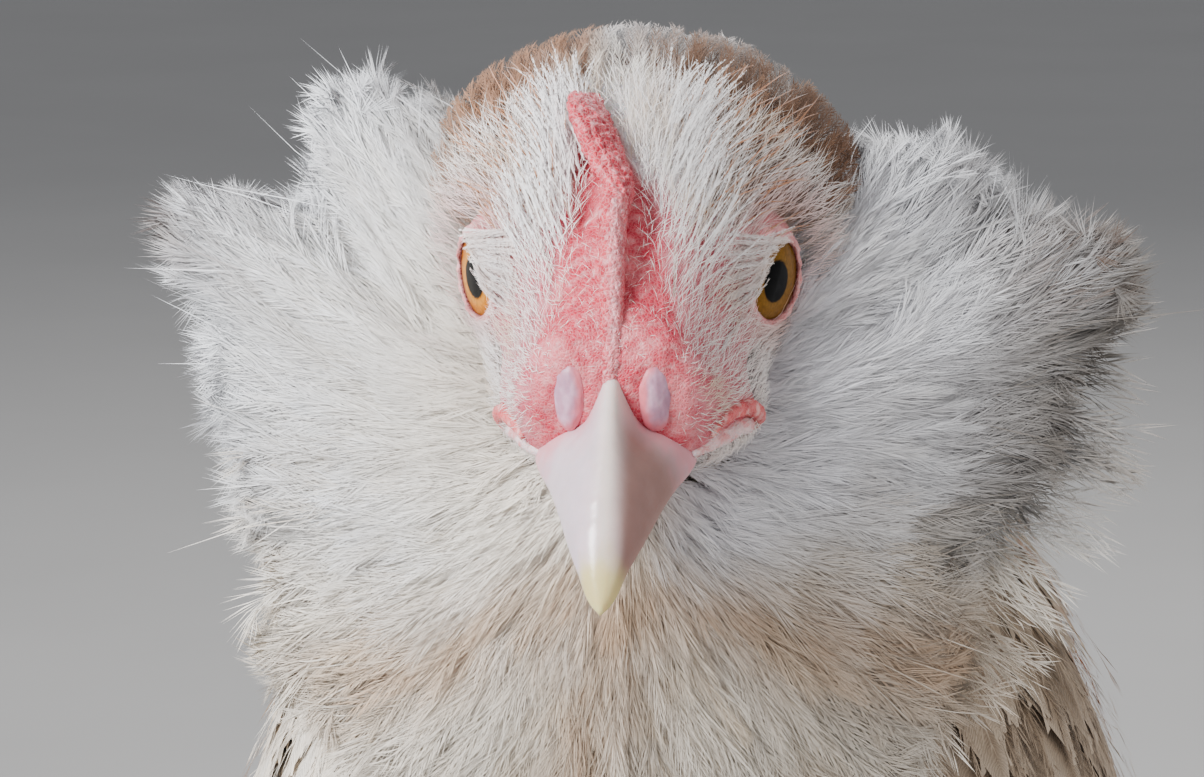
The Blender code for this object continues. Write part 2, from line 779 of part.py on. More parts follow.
def tail_vane(side, k, share, off_face):
    """One tail feather: its face turned out and up, fanned by its slope and bent back a little at the end."""
    angle = math.radians(TAIL_FAN[0] + TAIL_FAN[1] * k)
    back, up = Vector((0, math.cos(angle), math.sin(angle))), Vector((0, -math.sin(angle), math.cos(angle)))
    normal = (Vector((side, 0, 0)) + up * TAIL_ROLL).normalized()
    core_up = Vector((0, -math.sin(math.radians(TAIL_SLOPE)), math.cos(math.radians(TAIL_SLOPE))))
    root = Vector((side * (TAIL_OUT[0] + TAIL_OUT[1] * k), TAIL_ROOT[0], TAIL_ROOT[1]))
    root += core_up * (-15 + 30 * k / (TAIL_QUILLS - 1))
    length = (TAIL_LENGTH[0] + TAIL_LENGTH[1] * k + wobble(2)) * share
    centres = []
    for t in (0, 0.35, 0.75, 1):
        away = length * t
        bend = up * (-0.055 * away * t * share)
        centres.append((root + back * away + bend + normal * off_face * min(1, 2 * t)) * MM)
    widths = [TAIL_HALF_WIDTH * (0.5 + 0.5 * share) * MM * w for w in (0.55, 0.97, 0.95, 0.32)]
    return blade("tail_vane", centres, [normal] * 4, widths, [t * MM for t in (0.6, 0.55, 0.45, 0.28)])


def tail(cutters, material):
    """The tail: two leaves of quills that meet over the middle like a tent, with coverts over their roots."""
    pieces = [tail_core()]
    for side in SIDES.values():
        pieces += [tail_vane(side, k, 1, 0) for k in range(TAIL_QUILLS)]
        for first, share, off_face in TAIL_COVERTS:
            pieces += [tail_vane(side, k, share, off_face) for k in range(first, TAIL_QUILLS)]
    return fuse("tail", pieces, cutters, material)


# Legs


def column(name, table, side, sides, count):
    """An upright limb: level oval sections at the table's heights."""
    rings = []
    for step in np.linspace(0, len(table) - 1, count):
        y, z, depth, half = (between(rows(table), step, k) * MM for k in (1, 2, 3, 4))
        centre = Vector((side * LEG_SPREAD, y + LEG_BACK, z))
        rings.append(ring(centre, Vector((1, 0, 0)), Vector((0, 1, 0)), half, depth, depth, sides))
    return loft(name, rings)


def foot_feather(side, height, heading, length, droop):
    """One feather of the shank or the outer toe, from the leg outwards and down, clear of the floor."""
    table = SHANK[::-1][:, [1, 0, 2, 3]]
    y, half = between(table, height, 1), between(table, height, 3)
    level = Vector((side * math.sin(math.radians(heading)), -math.cos(math.radians(heading)), 0))
    start = Vector((side * LEG_SPREAD, y * MM + LEG_BACK, height * MM)) + level * ((half - 3) * MM)
    centres = []
    for t in (0, 0.35, 0.7, 1):
        point = start + level * ((length + 3) * MM * t) + Vector((0, 0, -droop * t**1.5 * MM))
        point.z = max(point.z, 2.5 * MM)
        centres.append(point)
    normal = (Vector((0, 0, 1)) + level * 0.4).normalized()
    widths = [6.5 * MM * w for w in (0.7, 1, 0.85, 0.25)]
    return blade("foot_feather", centres, [normal] * 4, widths, [t * MM for t in (0.9, 0.7, 0.5, 0.3)])


def shank(label, side, cutters, material):
    """The shank with its front scutes as low rings, the foot pad and the feathers on its outer side."""
    rings = []
    heights = np.linspace(84, 16, 2 * SCUTES + 1)
    levels = [98, *heights, 9, 0]
    table = SHANK[::-1][:, [1, 0, 2, 3]]
    for k, z in enumerate(levels):
        y, depth, half = (between(table, z, c) for c in (1, 2, 3))
        swell = 0.3 if 1 <= k <= len(heights) and k % 2 else 0
        centre = Vector((side * LEG_SPREAD, y * MM + LEG_BACK, z * MM))
        grown = ((half + swell) * MM, (depth + swell) * MM)
        rings.append(ring(centre, Vector((1, 0, 0)), Vector((0, 1, 0)), grown[0], grown[1], grown[1], 8))
    feathers = [foot_feather(side, *row) for row in FOOT_FEATHERS]
    return fuse(f"shank_{label}", [loft("shank", rings), *feathers], cutters, material)


def toe_direction(number, side):
    turn = math.radians(TOES[number][0])
    rise = math.radians(TOES[number][3])
    level = Vector((-side * math.sin(turn), -math.cos(turn), 0))
    return level * math.cos(rise) + Vector((0, 0, math.sin(rise)))


def toe(number, side, label, cutters, material):
    """One toe: a knuckled rod that rests on a flat underside."""
    turn, length, thick, rise = TOES[number]
    along = toe_direction(number, side)
    across = Vector((0, 0, 1)).cross(along).normalized()
    up = along.cross(across).normalized()
    start = Vector((side * LEG_SPREAD, LEG_BACK, (thick if not rise else 13) * MM))
    rings = []
    for share in np.linspace(0, 1, 7):
        knuckle = 1 + 0.07 * math.cos(6 * math.pi * share)
        size = thick * MM * (1 - 0.22 * share) * knuckle
        root = TOE_START * 0.55 + (TOE_START * 0.45 + length * MM) * share
        waist = 0.62 if share < 0.25 and number in (2, 3, 4) else 1.0
        drop = 0 if rise else (size - thick * MM)
        centre = start + along * root + Vector((0, 0, drop))
        points = ring(centre, across, up, size * waist, size, size * 1.05, 8)
        rings.append([Vector((p.x, p.y, max(0.0, p.z))) for p in points])
    return fuse(f"toe_{label}_{number}", [loft("toe", rings)], cutters, material)


def claw(number, side, label, material):
    """A curved, pointed claw in front of its toe."""
    turn, length, thick, rise = TOES[number]
    along = toe_direction(number, side)
    across = Vector((0, 0, 1)).cross(along).normalized()
    size = thick * 0.74 * MM
    end = TOE_START + length * MM + 0.3 * MM
    base = Vector((side * LEG_SPREAD, LEG_BACK, (13 * MM if rise else size * 1.1))) + along * end
    rings = []
    for share in np.linspace(0, 1, 5):
        fall = size * 0.75 * share**2
        centre = base + along * (CLAW_LENGTH * share) - Vector((0, 0, fall))
        width = size * (1 - share) ** 0.8 + 0.35 * MM
        points = ring(centre, across, along.cross(across), width * 0.7, width, width * 0.8, 6)
        rings.append([Vector((p.x, p.y, max(p.z, 0.3 * MM))) for p in points])
    return loft(f"claw_{label}_{number}", rings, material)


def build():
    clear_scene()
    cream = finish("cream_feather", (0.86, 0.82, 0.75), 0.8)
    salmon = finish("salmon_feather", (0.72, 0.50, 0.36), 0.75)
    white = finish("white_down", (0.92, 0.91, 0.89), 0.85)
    flesh = finish("face_skin", (0.85, 0.52, 0.50), 0.55)
    red = finish("comb_skin", (0.82, 0.28, 0.29), 0.5)
    horn = finish("bill_horn", (0.90, 0.80, 0.74), 0.35)
    iris = finish("eye", (0.70, 0.38, 0.10), 0.1)
    scale = finish("leg_scale", (0.88, 0.76, 0.70), 0.5)

    trunk = torso(cream)
    body = room(trunk)
    sockets = [guide(ball("socket", eye_centre(side), (EYE_RADIUS + CUT,) * 3)) for side in SIDES.values()]
    mouth = [mouth_line(side) for side in SIDES.values()]
    skull = room(head([*sockets, *mouth], flesh))
    for label, side in SIDES.items():
        ball(f"eye_{label}", eye_centre(side), (EYE_RADIUS,) * 3, material=iris)

    covers = [nostril_cover(side) for side in SIDES.values()]
    slits = [nostril_slit(side) for side in SIDES.values()]
    upper = room(bill_half("bill_upper", BILL, covers, [skull, *slits], horn))
    lower = room(bill_half("bill_lower", LOWER_BILL, [], [skull], horn))
    comb([skull, upper], red)

    core = neck_core()
    nape = room(core, 4.6 * MM)
    bare_neck = room(core)
    fuse("neck", [core, *hackle(tree_of([core, trunk]))], [body, skull], salmon)
    around = [skull, nape, body, upper, lower, *sockets]
    for label, side in SIDES.items():
        muff(label, side, around, white)
    beard(around, cream)

    rump = room(tail_core())
    tail([body], salmon)
    for label, side in SIDES.items():
        wing(label, side, [body, bare_neck, rump], salmon)
        thigh = room(fuse(f"thigh_{label}", [column("thigh", THIGH, side, 16, 9)], [body], cream))
        leg = shank(label, side, [thigh], scale)
        leg_room = room(column("shank_core", SHANK, side, 8, 12), CUT + 0.3 * MM)
        for number in TOES:
            toe(number, side, label, [leg_room], scale)
            claw(number, side, label, horn)

    hen = bpy.data.objects.new("hen", None)
    bpy.context.scene.collection.objects.link(hen)
    hen.location = (0, STANCE_Y, 0)
    for thing in list(bpy.context.scene.objects):
        if thing.type == "MESH" and (thing.hide_render or not thing.data.materials):
            bpy.data.objects.remove(thing)
        elif thing.type == "MESH":
            thing.data.shade_smooth()
            thing.data.set_sharp_from_angle(angle=math.radians(50))
            thing.parent = hen


build()
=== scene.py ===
"""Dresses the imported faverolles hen: skin, eyes, bill, comb and legs, and all her plumage."""

import math

import bpy
import numpy as np
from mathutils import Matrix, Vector


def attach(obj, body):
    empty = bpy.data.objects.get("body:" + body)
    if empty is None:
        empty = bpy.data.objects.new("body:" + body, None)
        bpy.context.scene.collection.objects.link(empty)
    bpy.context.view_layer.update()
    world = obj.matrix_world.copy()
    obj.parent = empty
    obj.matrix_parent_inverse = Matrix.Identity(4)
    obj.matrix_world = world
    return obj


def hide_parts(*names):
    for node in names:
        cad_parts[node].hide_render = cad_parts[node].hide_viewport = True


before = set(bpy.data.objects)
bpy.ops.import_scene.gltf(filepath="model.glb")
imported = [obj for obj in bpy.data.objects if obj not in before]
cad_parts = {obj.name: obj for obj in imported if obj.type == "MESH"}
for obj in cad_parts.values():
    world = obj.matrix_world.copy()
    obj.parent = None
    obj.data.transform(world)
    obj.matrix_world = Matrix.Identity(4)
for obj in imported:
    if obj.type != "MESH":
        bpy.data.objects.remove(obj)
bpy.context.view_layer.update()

MM = 0.001
SIDES = {"left": 1, "right": -1}

# The hen's own stance, as in her solids
STANCE_Y = -60.7
EYE_HEIGHT = 392
EYE_Y = -112
HEAD_PITCH = math.radians(18)
HEAD_YAW = math.radians(5)
LEG_SPREAD = 40
LEG_BACK = 24
EYE_ACROSS = 15.2
EYE_UP = 0.9
EYE_RADIUS = 5.0
EYE_FACING = math.radians(62)
EYE_LIFT = math.radians(5)

# Sections of the trunk: y, height of the middle, rise above it, drop below it, half width
TORSO = [
    (-130, 212, 5, 5, 5),
    (-122, 210, 28, 32, 32),
    (-96, 206, 60, 68, 60),
    (-45, 200, 83, 92, 82),
    (15, 196, 91, 98, 88),
    (72, 198, 89, 95, 85),
    (118, 207, 78, 82, 70),
    (152, 222, 57, 57, 46),
    (172, 234, 34, 32, 26),
    (180, 238, 8, 8, 7),
]

# Sections of the neck: row, y, z, half depth, half width, backward lean, bend to her left
NECK = [
    (0, -46, 220, 58, 66, 0, 0),
    (1, -50, 262, 54, 61, 8, 3),
    (2, -56, 302, 45, 55, 10, 6.5),
    (3, -63, 336, 34, 47, 8, 8),
    (4, -70, 364, 25, 35, 4, 5),
    (5, -75, 384, 18, 23, 0, 1.5),
    (6, -80, 403, 12, 17, 0, -1.5),
    (7, -85, 412, 5.5, 8, 0, -2.5),
]

# Sections of the head in its own frame: forward, up, rise, drop, half width
HEAD = [
    (21.5, -6, 3, 3, 3),
    (20, -6, 7.5, 7.5, 8.6),
    (15, -6, 12, 10.5, 12.0),
    (8, -4, 16, 13.5, 14.6),
    (0, -2, 18.5, 15.5, 17),
    (-10, -1, 20.5, 17, 22.5),
    (-20, -1, 21.5, 17, 25.5),
    (-30, -2, 19, 16, 24),
    (-37, -3, 12, 11, 15.5),
    (-40, -3, 4, 4, 5),
]

# Depth of the plumage over the skin of the head: forward, depth
HEAD_COAT = [(22, 0.1), (14, 0.3), (8, 0.7), (2, 1.6), (-6, 3.2), (-20, 4.2), (-40, 4.2)]

# Upper half of the bill: forward, culmen, edge, half width, sharpness of its sides, share that is a narrow
# ridge
BILL = [
    (13, 0.2, -12.6, 8.8, 1.2, 0.5),
    (18, 0.0, -12.6, 8.9, 1.2, 0.5),
    (21, -1.0, -12.9, 8.2, 1.2, 0.46),
    (24, -2.6, -13.3, 6.9, 1.2, 0.36),
    (28, -5.0, -13.9, 5.6, 1.25, 0.2),
    (33, -8.6, -14.8, 4.2, 1.2, 0.06),
    (37, -12.2, -15.9, 2.8, 1.1, 0),
    (40.3, -17.0, -18.4, 1.0, 1, 0),
    (41, -18.4, -18.7, 0.2, 1, 0),
]

# Lower half of the bill: forward, edge, underside, half width, sharpness, ridge
LOWER_BILL = [
    (12, -12.8, -18.6, 6.8, 1, 0),
    (20, -13.2, -18.7, 6.4, 1, 0),
    (27, -14.1, -18.3, 4.9, 1, 0),
    (33, -15.2, -17.9, 2.9, 1, 0),
    (36.6, -16.3, -17.3, 0.8, 1, 0),
]

# Bare strip of the face: forward, half width, how far it lies to her right
BARE = [
    (22, 10, 0), (17, 8.6, 0.3), (11, 6.3, 0.7), (5, 4.7, 0.9), (0, 3.4, 2.2), (-8, 2.2, 3.6), (-12, 0.5, 3.8)
]

# Line of the fleshy fold from the bill's shoulder round the corner of the mouth: across, forward, up
MOUTH = [
    (7.6, 17.6, -9.6), (11, 15, -9.3), (14, 12.4, -9.9), (16, 10.6, -11.8), (16.4, 10, -14),
    (15.2, 10.4, -16.4)
]

# Most triangles of a piece of the coats and most barbs' corners made in one go
PIECE_LIMIT = 195000
BATCH_LIMIT = 90000
NO_TRIANGLES = np.zeros((0, 3), int)

# Grain of the skins that are made from joined shells, in millimetres
BODY_VOXEL = 3.6
LEG_VOXEL = 0.75

rng = np.random.default_rng(23)


def seen(red, green, blue):
    """A colour as light, from its channels as seen: each one's share of 255, to the power 2.2."""
    return (np.array([red, green, blue], float) / 255) ** 2.2


# Colours of the plumage
WHITE = seen(236, 236, 238)
CREAM = seen(234, 226, 214)
FAWN = seen(198, 164, 132)
SMOKE = seen(205, 203, 202)
SALMON = seen(200, 146, 106)
RUSSET = seen(158, 104, 68)
BUFF = seen(226, 196, 160)
LACE = seen(244, 228, 208)
BREAST_WHITE = seen(238, 230, 220)
# fawn with painted shade for her neck's left side
NECK_FAWN_PAINTED_SHADE = seen(142, 118, 92)
SALMON_DARK = seen(182, 122, 84)
# brown of the wings' clouds, also their painted shade where they face down
WING_BROWN_AND_SHADE = seen(176, 118, 82)
QUILL_DARK = seen(150, 112, 84)
QUILL_LACE = seen(226, 190, 156)
TAIL_DARK = seen(120, 84, 62)
TAIL_LACE = seen(206, 164, 128)
FOOT_CREAM = seen(236, 226, 212)

# Colours of the crown, the muffs and the beard
CROWN_CREAM = seen(206, 186, 166)
CROWN_BROWN = seen(160, 119, 92)
# brown of her left crown patch, darkened by painted shade
CROWN_BROWN_PAINTED_SHADE = seen(128, 92, 66)
EYE_BLUSH = seen(232, 186, 180)
STREAK = seen(176, 136, 108)
STREAK_TIP = seen(190, 150, 122)
RUST = seen(206, 150, 116)
RUST_DARK = seen(168, 120, 88)
BEARD_BUFF = seen(226, 208, 184)
# painted light, whitening the muff beside the bill on her left
MUFF_PAINTED_LIGHT = seen(244, 244, 248)
# painted shade, greying her left muff's outer part
MUFF_PAINTED_SHADE = seen(150, 141, 131)
MUFF_TIP = seen(112, 88, 72)

# Colours of the bristles and small plumes of the face
BRISTLE = seen(244, 238, 234)
BRISTLE_CREAM = seen(232, 214, 196)
BRISTLE_PINK = seen(236, 196, 192)
SWEPT_WHITE = seen(246, 243, 242)
BROW = seen(246, 242, 240)
BROW_PINK = seen(222, 196, 186)
CHIN = seen(246, 236, 232)

# Colours of the skin, the comb and the folds of the mouth
PALE_PINK = seen(238, 205, 202)
SKIN_NET = seen(244, 214, 212)
FLESH = seen(220, 124, 130)
FLESH_RED = seen(202, 74, 88)
FACE_ROSE = seen(216, 138, 144)
FACE_RED = seen(204, 104, 116)
EYE_SKIN = seen(222, 146, 150)
LID_LIP = seen(120, 60, 56)
LID_PINK = seen(226, 176, 174)
LID_RED = seen(214, 138, 140)
GAPE_RIM = seen(216, 104, 110)
# painted shade of the gape at the mouth's corners
GAPE_PAINTED_SHADE = seen(120, 36, 44)
FOLD_RED = seen(222, 112, 112)
FOLD_PINK = seen(238, 180, 176)
FOLD_DARK = seen(186, 62, 70)
FOLD_PALE = seen(232, 206, 206)
FOLD_ROSE = seen(226, 160, 160)
COMB_RED = seen(218, 92, 102)
COMB_DARK = seen(192, 58, 72)
COMB_BLOOM = seen(236, 176, 180)
LEG_PALE = seen(232, 200, 190)
LEG_PINK = seen(222, 176, 168)
LEG_RED = seen(206, 150, 146)

# Colours of the eyes, the bill, the nostril scales and the claws
AMBER = seen(196, 124, 44)
AMBER_DARK = seen(140, 80, 30)
AMBER_PALE = seen(206, 150, 76)
# painted shade, turning her left eye's iris olive
OLIVE_PAINTED_SHADE = seen(112, 88, 42)
PUPIL = seen(5, 5, 7)
EYE_RIM = seen(60, 40, 30)
BILL_LILAC = seen(210, 186, 192)
# pale ridge of the bill, partly a painted highlight
BILL_RIDGE_PAINTED_HIGHLIGHT = seen(222, 208, 201)
# painted shade on the bill's left side
BILL_PAINTED_SHADE = seen(158, 122, 112)
# painted light on the bill's right side
BILL_PAINTED_LIGHT = seen(218, 204, 212)
BILL_TIP = seen(210, 196, 138)
BILL_BASE = seen(222, 150, 158)
BILL_LOWER = seen(206, 176, 160)
# painted shade in the nostril slots
SLOT_PAINTED_SHADE = seen(122, 44, 48)
LILAC = seen(190, 148, 168)
LILAC_PALE = seen(206, 170, 188)
NOSTRIL_RIM = seen(220, 130, 140)
CLAW_PALE = seen(226, 198, 184)
CLAW_TIP = seen(240, 228, 214)


# Arrays


def read(table, at):
    """Every column of a table at the places asked, on cubics through its rows that level off at a peak."""
    table = np.asarray(table, float)
    if table[0, 0] > table[-1, 0]:
        table = table[::-1]
    keys, values = table[:, 0], table[:, 1:]
    steps = np.diff(keys)[:, None]
    slopes = np.diff(values, axis=0) / steps
    tangents = np.vstack([slopes[:1], (slopes[:-1] + slopes[1:]) / 2, slopes[-1:]])
    inner = tangents[1:-1]
    inner[slopes[:-1] * slopes[1:] <= 0] = 0
    at = np.asarray(at, float)
    i = np.clip(np.searchsorted(keys, at) - 1, 0, len(steps) - 1)
    step = steps[i]
    t = np.clip((at - keys[i]) / step[..., 0], 0, 1)[..., None]
    value = values[i] * (2 * t**3 - 3 * t**2 + 1) + tangents[i] * step * (t**3 - 2 * t**2 + t)
    return value + values[i + 1] * (3 * t**2 - 2 * t**3) + tangents[i + 1] * step * (t**3 - t**2)


def unit(v):
    """Vectors of length 1: each one over its own length."""
    return v / np.maximum(np.linalg.norm(v, axis=-1, keepdims=True), 1e-12)


def ease(low, high, x):
    """A smooth step from 0 at low to 1 at high."""
    t = np.clip((x - low) / (high - low), 0, 1)
    return t * t * (3 - 2 * t)


def mix(a, b, share):
    """Two colours or points, mixed by a share for each row: a less the share of it, and the share of b."""
    share = np.asarray(share, float)[..., None]
    return a * (1 - share) + b * share


def hill(x, middle, width):
    """A smooth hump: e to the power of minus the square of the distance from its middle over its width."""
    return np.exp(-(((x - middle) / width) ** 2))


def waves(p, size, seed, octaves=3):
    """Smooth noise in about -1 to 1: a sum of sines of the place along random directions, finer by
    octaves."""
    draw = np.random.default_rng(seed)
    total = np.zeros(p.shape[:-1])
    for octave in range(octaves):
        for _ in range(5):
            direction = unit(draw.normal(size=3))
            turn = draw.uniform(0, 2 * math.pi)
            pace = 2 * math.pi / size * 2**octave * draw.uniform(0.7, 1.3)
            total += np.sin(p @ direction * pace + turn) / (2.4 * 1.7**octave)
    return total / 1.6


def arc_of(table, columns):
    """The first column of a table of sections against the length along the mean profile of the columns
    given."""
    at = np.linspace(table[0][0], table[-1][0], 400)
    size = sum(read(table, at)[:, c] for c in columns) / len(columns)
    return np.column_stack([np.concatenate([[0], np.cumsum(np.hypot(np.diff(at), np.diff(size)))]), at])


TURN = np.array(
    [
        [math.cos(HEAD_YAW), math.sin(HEAD_YAW), 0],
        [-math.sin(HEAD_YAW), math.cos(HEAD_YAW), 0],
        [0, 0, 1],
    ]
) @ np.array(
    [
        [1, 0, 0],
        [0, math.cos(HEAD_PITCH), -math.sin(HEAD_PITCH)],
        [0, math.sin(HEAD_PITCH), math.cos(HEAD_PITCH)],
    ]
)
HEAD_AXES = np.array([TURN[:, 0], -TURN[:, 1], TURN[:, 2]])
HEAD_ORIGIN = np.array([0, EYE_Y + STANCE_Y, EYE_HEIGHT])


def round_turn(count):
    """Angles once round, evenly spaced, the last one short of the first by one step."""
    return np.linspace(0, 2 * math.pi, count, endpoint=False)


def from_head(p):
    """Points of the head's frame (across, forward, up) in the hen's stance, both in millimetres: its three
    axes times them, from its origin between the eyes."""
    return HEAD_ORIGIN + np.asarray(p, float) @ HEAD_AXES


def from_stance(p):
    """Points of the hen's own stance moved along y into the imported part's frame, in millimetres."""
    return np.asarray(p, float) + np.array([0, STANCE_Y, 0])


# Meshes


def put_mesh(name, points, faces, finish, tint=None, patch=None, vane=None, normals=None):
    """An object from arrays: points in millimetres, lists of faces of equal size, and colours, a map of the
    plumage, places on the vane and normals by vertex where they are given."""
    mesh = bpy.data.meshes.new(name)
    points = np.ascontiguousarray(points.reshape(-1, 3) * MM, dtype=np.float32)
    faces = [np.asarray(f, dtype=np.int32) for f in faces if len(f)]
    corners = np.concatenate([f.ravel() for f in faces])
    counts = np.concatenate([np.full(len(f), f.shape[1], dtype=np.int32) for f in faces])
    mesh.vertices.add(len(points))
    mesh.vertices.foreach_set("co", points.ravel())
    mesh.loops.add(len(corners))
    mesh.loops.foreach_set("vertex_index", corners)
    mesh.polygons.add(len(counts))
    mesh.polygons.foreach_set("loop_start", np.concatenate([[0], np.cumsum(counts)[:-1]]).astype(np.int32))
    mesh.update(calc_edges=True)
    mesh.shade_smooth()
    if tint is not None:
        colours = np.ones((len(points), 4), dtype=np.float32)
        colours[:, :3] = tint.reshape(-1, 3)
        layer = mesh.attributes.new("tint", "FLOAT_COLOR", "POINT")
        layer.data.foreach_set("color", colours.ravel())
    if vane is not None:
        layer = mesh.attributes.new("vane", "FLOAT_VECTOR", "POINT")
        layer.data.foreach_set("vector", vane.reshape(-1).astype(np.float32))
    if patch is not None:
        layer = mesh.uv_layers.new(name="OFBake")
        layer.uv.foreach_set("vector", patch.reshape(-1, 2)[corners].astype(np.float32).ravel())
    if normals is not None:
        mesh.normals_split_custom_set_from_vertices(normals.reshape(-1, 3).astype(np.float32))
    mesh.materials.append(finish)
    thing = bpy.data.objects.new(name, mesh)
    bpy.context.scene.collection.objects.link(thing)
    return thing


def grid_faces(rows, columns, closed_round=False):
    """Quads of a grid whose points run row by row, closed round its columns where asked."""
    j = np.arange(columns if closed_round else columns - 1)
    a, b = np.meshgrid(np.arange(rows - 1), j, indexing="ij")
    c, d = a + 1, (b + 1) % columns
    quads = np.stack([a * columns + b, a * columns + d, c * columns + d, c * columns + b], -1)
    return quads.reshape(-1, 4)


def surface(name, points, finish, tint, flip=False, caps=True):
    """A surface from a grid of points, closed round its columns and, unless left open, capped at both ends by
    a fan round the middle of the row."""
    rows, columns = points.shape[:2]
    flat = points.reshape(-1, 3)
    shades = np.broadcast_to(tint, points.shape).reshape(-1, 3)
    groups = [grid_faces(rows, columns, True)]
    if caps:
        for row, turn in ((0, True), (rows - 1, False)):
            start = row * columns
            hub = len(flat)
            flat = np.vstack([flat, points[row].mean(axis=0)])
            shades = np.vstack([shades, shades[start : start + columns].mean(axis=0)])
            k = np.arange(columns)
            n = (k + 1) % columns
            fan = np.stack([start + k, start + n, np.full(columns, hub)], -1)
            groups.append(fan[:, ::-1] if turn else fan)
    if flip:
        groups = [g[:, ::-1] for g in groups]
    return put_mesh(name, flat, groups, finish, shades)


def wear(piece, slot, *nodes):
    """Sets a piece on the hen: it rides on her and hides the nodes it stands for; its slot is not used."""
    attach(piece, "root")
    if nodes:
        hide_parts(*nodes)
    return piece


# Materials


def finish_of(name, roughness, **sockets):
    """A Principled material, its plain values set on its own sockets."""
    material = bpy.data.materials.new(name)
    material.use_nodes = True
    shader = material.node_tree.nodes["Principled BSDF"]
    shader.inputs["Roughness"].default_value = roughness
    for socket, value in sockets.items():
        shader.inputs[socket.replace("_", " ")].default_value = value
    return material


def add(material, kind, **settings):
    """A node of a material, with its properties and its sockets' values; underlines stand for spaces."""
    node = material.node_tree.nodes.new("ShaderNode" + kind)
    for key, value in settings.items():
        socket = key.replace("_", " ")
        if socket in node.inputs:
            node.inputs[socket].default_value = value
        else:
            setattr(node, key, value)
    return node


def link(material, start, out, end, into):
    """Joins one node's output to another one's input."""
    material.node_tree.links.new(start.outputs[out], end.inputs[into])


def tinted(material, scale, low, high, detail=3.0):
    """Feeds the piece's own colours, varied by fine noise in its own space, to the base colour."""
    shader = material.node_tree.nodes["Principled BSDF"]
    colour = add(material, "Attribute", attribute_name="tint")
    place = add(material, "TexCoord")
    noise = add(material, "TexNoise", Scale=scale, Detail=detail)
    spread = add(material, "MapRange", From_Min=0.3, From_Max=0.7, To_Min=low, To_Max=high)
    blend = add(material, "VectorMath", operation="SCALE")
    link(material, place, "Object", noise, "Vector")
    link(material, noise, "Fac", spread, "Value")
    link(material, colour, "Color", blend, 0)
    link(material, spread, "Result", blend, "Scale")
    link(material, blend, "Vector", shader, "Base Color")
    return place, noise, blend


def raised(material, height, out, strength, distance):
    """Feeds a height to the shader's normal."""
    shader = material.node_tree.nodes["Principled BSDF"]
    bump = add(material, "Bump", Strength=strength, Distance=distance)
    link(material, height, out, bump, "Height")
    link(material, bump, "Normal", shader, "Normal")
    return bump


def down_finish():
    """Loose barbs: their own colours with a faint mottle, dull and a little silky."""
    material = finish_of("loose_barbs", 0.62, Sheen_Weight=0.15, Sheen_Roughness=0.5)
    tinted(material, 700, 0.93, 1.03)
    return material


def vane_finish():
    """Closed vanes: fine barbs slant out from the shaft, as a bump and a light stripe of the colour."""
    material = finish_of("feather_vane", 0.55, Sheen_Weight=0.1, Sheen_Roughness=0.5)
    shader = material.node_tree.nodes["Principled BSDF"]
    _, _, blend = tinted(material, 350, 0.9, 1.04)
    vane = add(material, "Attribute", attribute_name="vane")
    parts = add(material, "SeparateXYZ")
    away = add(material, "Math", operation="ABSOLUTE")
    slant = add(material, "Math", operation="MULTIPLY_ADD")
    slant.inputs[1].default_value = -1.1
    noise = add(material, "TexNoise", Scale=0.6, Detail=2.0)
    stir = add(material, "Math", operation="MULTIPLY_ADD")
    stir.inputs[1].default_value = 1.6
    pace = add(material, "Math", operation="MULTIPLY")
    pace.inputs[1].default_value = 2 * math.pi / 0.55
    wave = add(material, "Math", operation="SINE")
    stripe = add(material, "MapRange", From_Min=-1, To_Min=0.86, To_Max=1.04)
    ribbed = add(material, "VectorMath", operation="SCALE")
    link(material, vane, "Vector", parts, "Vector")
    link(material, vane, "Vector", noise, "Vector")
    link(material, parts, "X", away, 0)
    link(material, away, "Value", slant, 0)
    link(material, parts, "Y", slant, 2)
    link(material, noise, "Fac", stir, 0)
    link(material, slant, "Value", stir, 2)
    link(material, stir, "Value", pace, 0)
    link(material, pace, "Value", wave, 0)
    link(material, wave, "Value", stripe, "Value")
    link(material, blend, "Vector", ribbed, 0)
    link(material, stripe, "Result", ribbed, "Scale")
    link(material, ribbed, "Vector", shader, "Base Color")
    raised(material, wave, "Value", 0.35, 0.0002)
    return material


def skin_finish(name, cell, depth, net, roughness=0.5):
    """Fleshy skin: pebbled in cells of about this size, the gaps between them paler by a share."""
    material = finish_of(name, roughness, Subsurface_Weight=0.25, Subsurface_Scale=0.0015)
    shader = material.node_tree.nodes["Principled BSDF"]
    shader.inputs["Subsurface Radius"].default_value = (1, 0.35, 0.25)
    place, noise, blend = tinted(material, 900, 0.88, 1.08)
    warp = add(material, "VectorMath", operation="SCALE", Scale=0.0004)
    moved = add(material, "VectorMath", operation="ADD")
    link(material, noise, "Color", warp, 0)
    link(material, warp, "Vector", moved, 0)
    link(material, place, "Object", moved, 1)
    cells = add(material, "TexVoronoi", feature="DISTANCE_TO_EDGE", Scale=1 / (cell * MM))
    link(material, moved, "Vector", cells, "Vector")
    ramp = add(material, "MapRange", From_Max=0.16, To_Min=net, To_Max=0)
    pale = add(material, "Mix", data_type="RGBA")
    pale.inputs[7].default_value = (*SKIN_NET, 1)
    link(material, cells, "Distance", ramp, "Value")
    link(material, ramp, "Result", pale, 0)
    link(material, blend, "Vector", pale, 6)
    link(material, pale, 2, shader, "Base Color")
    raised(material, cells, "Distance", 0.8, depth * MM)
    return material


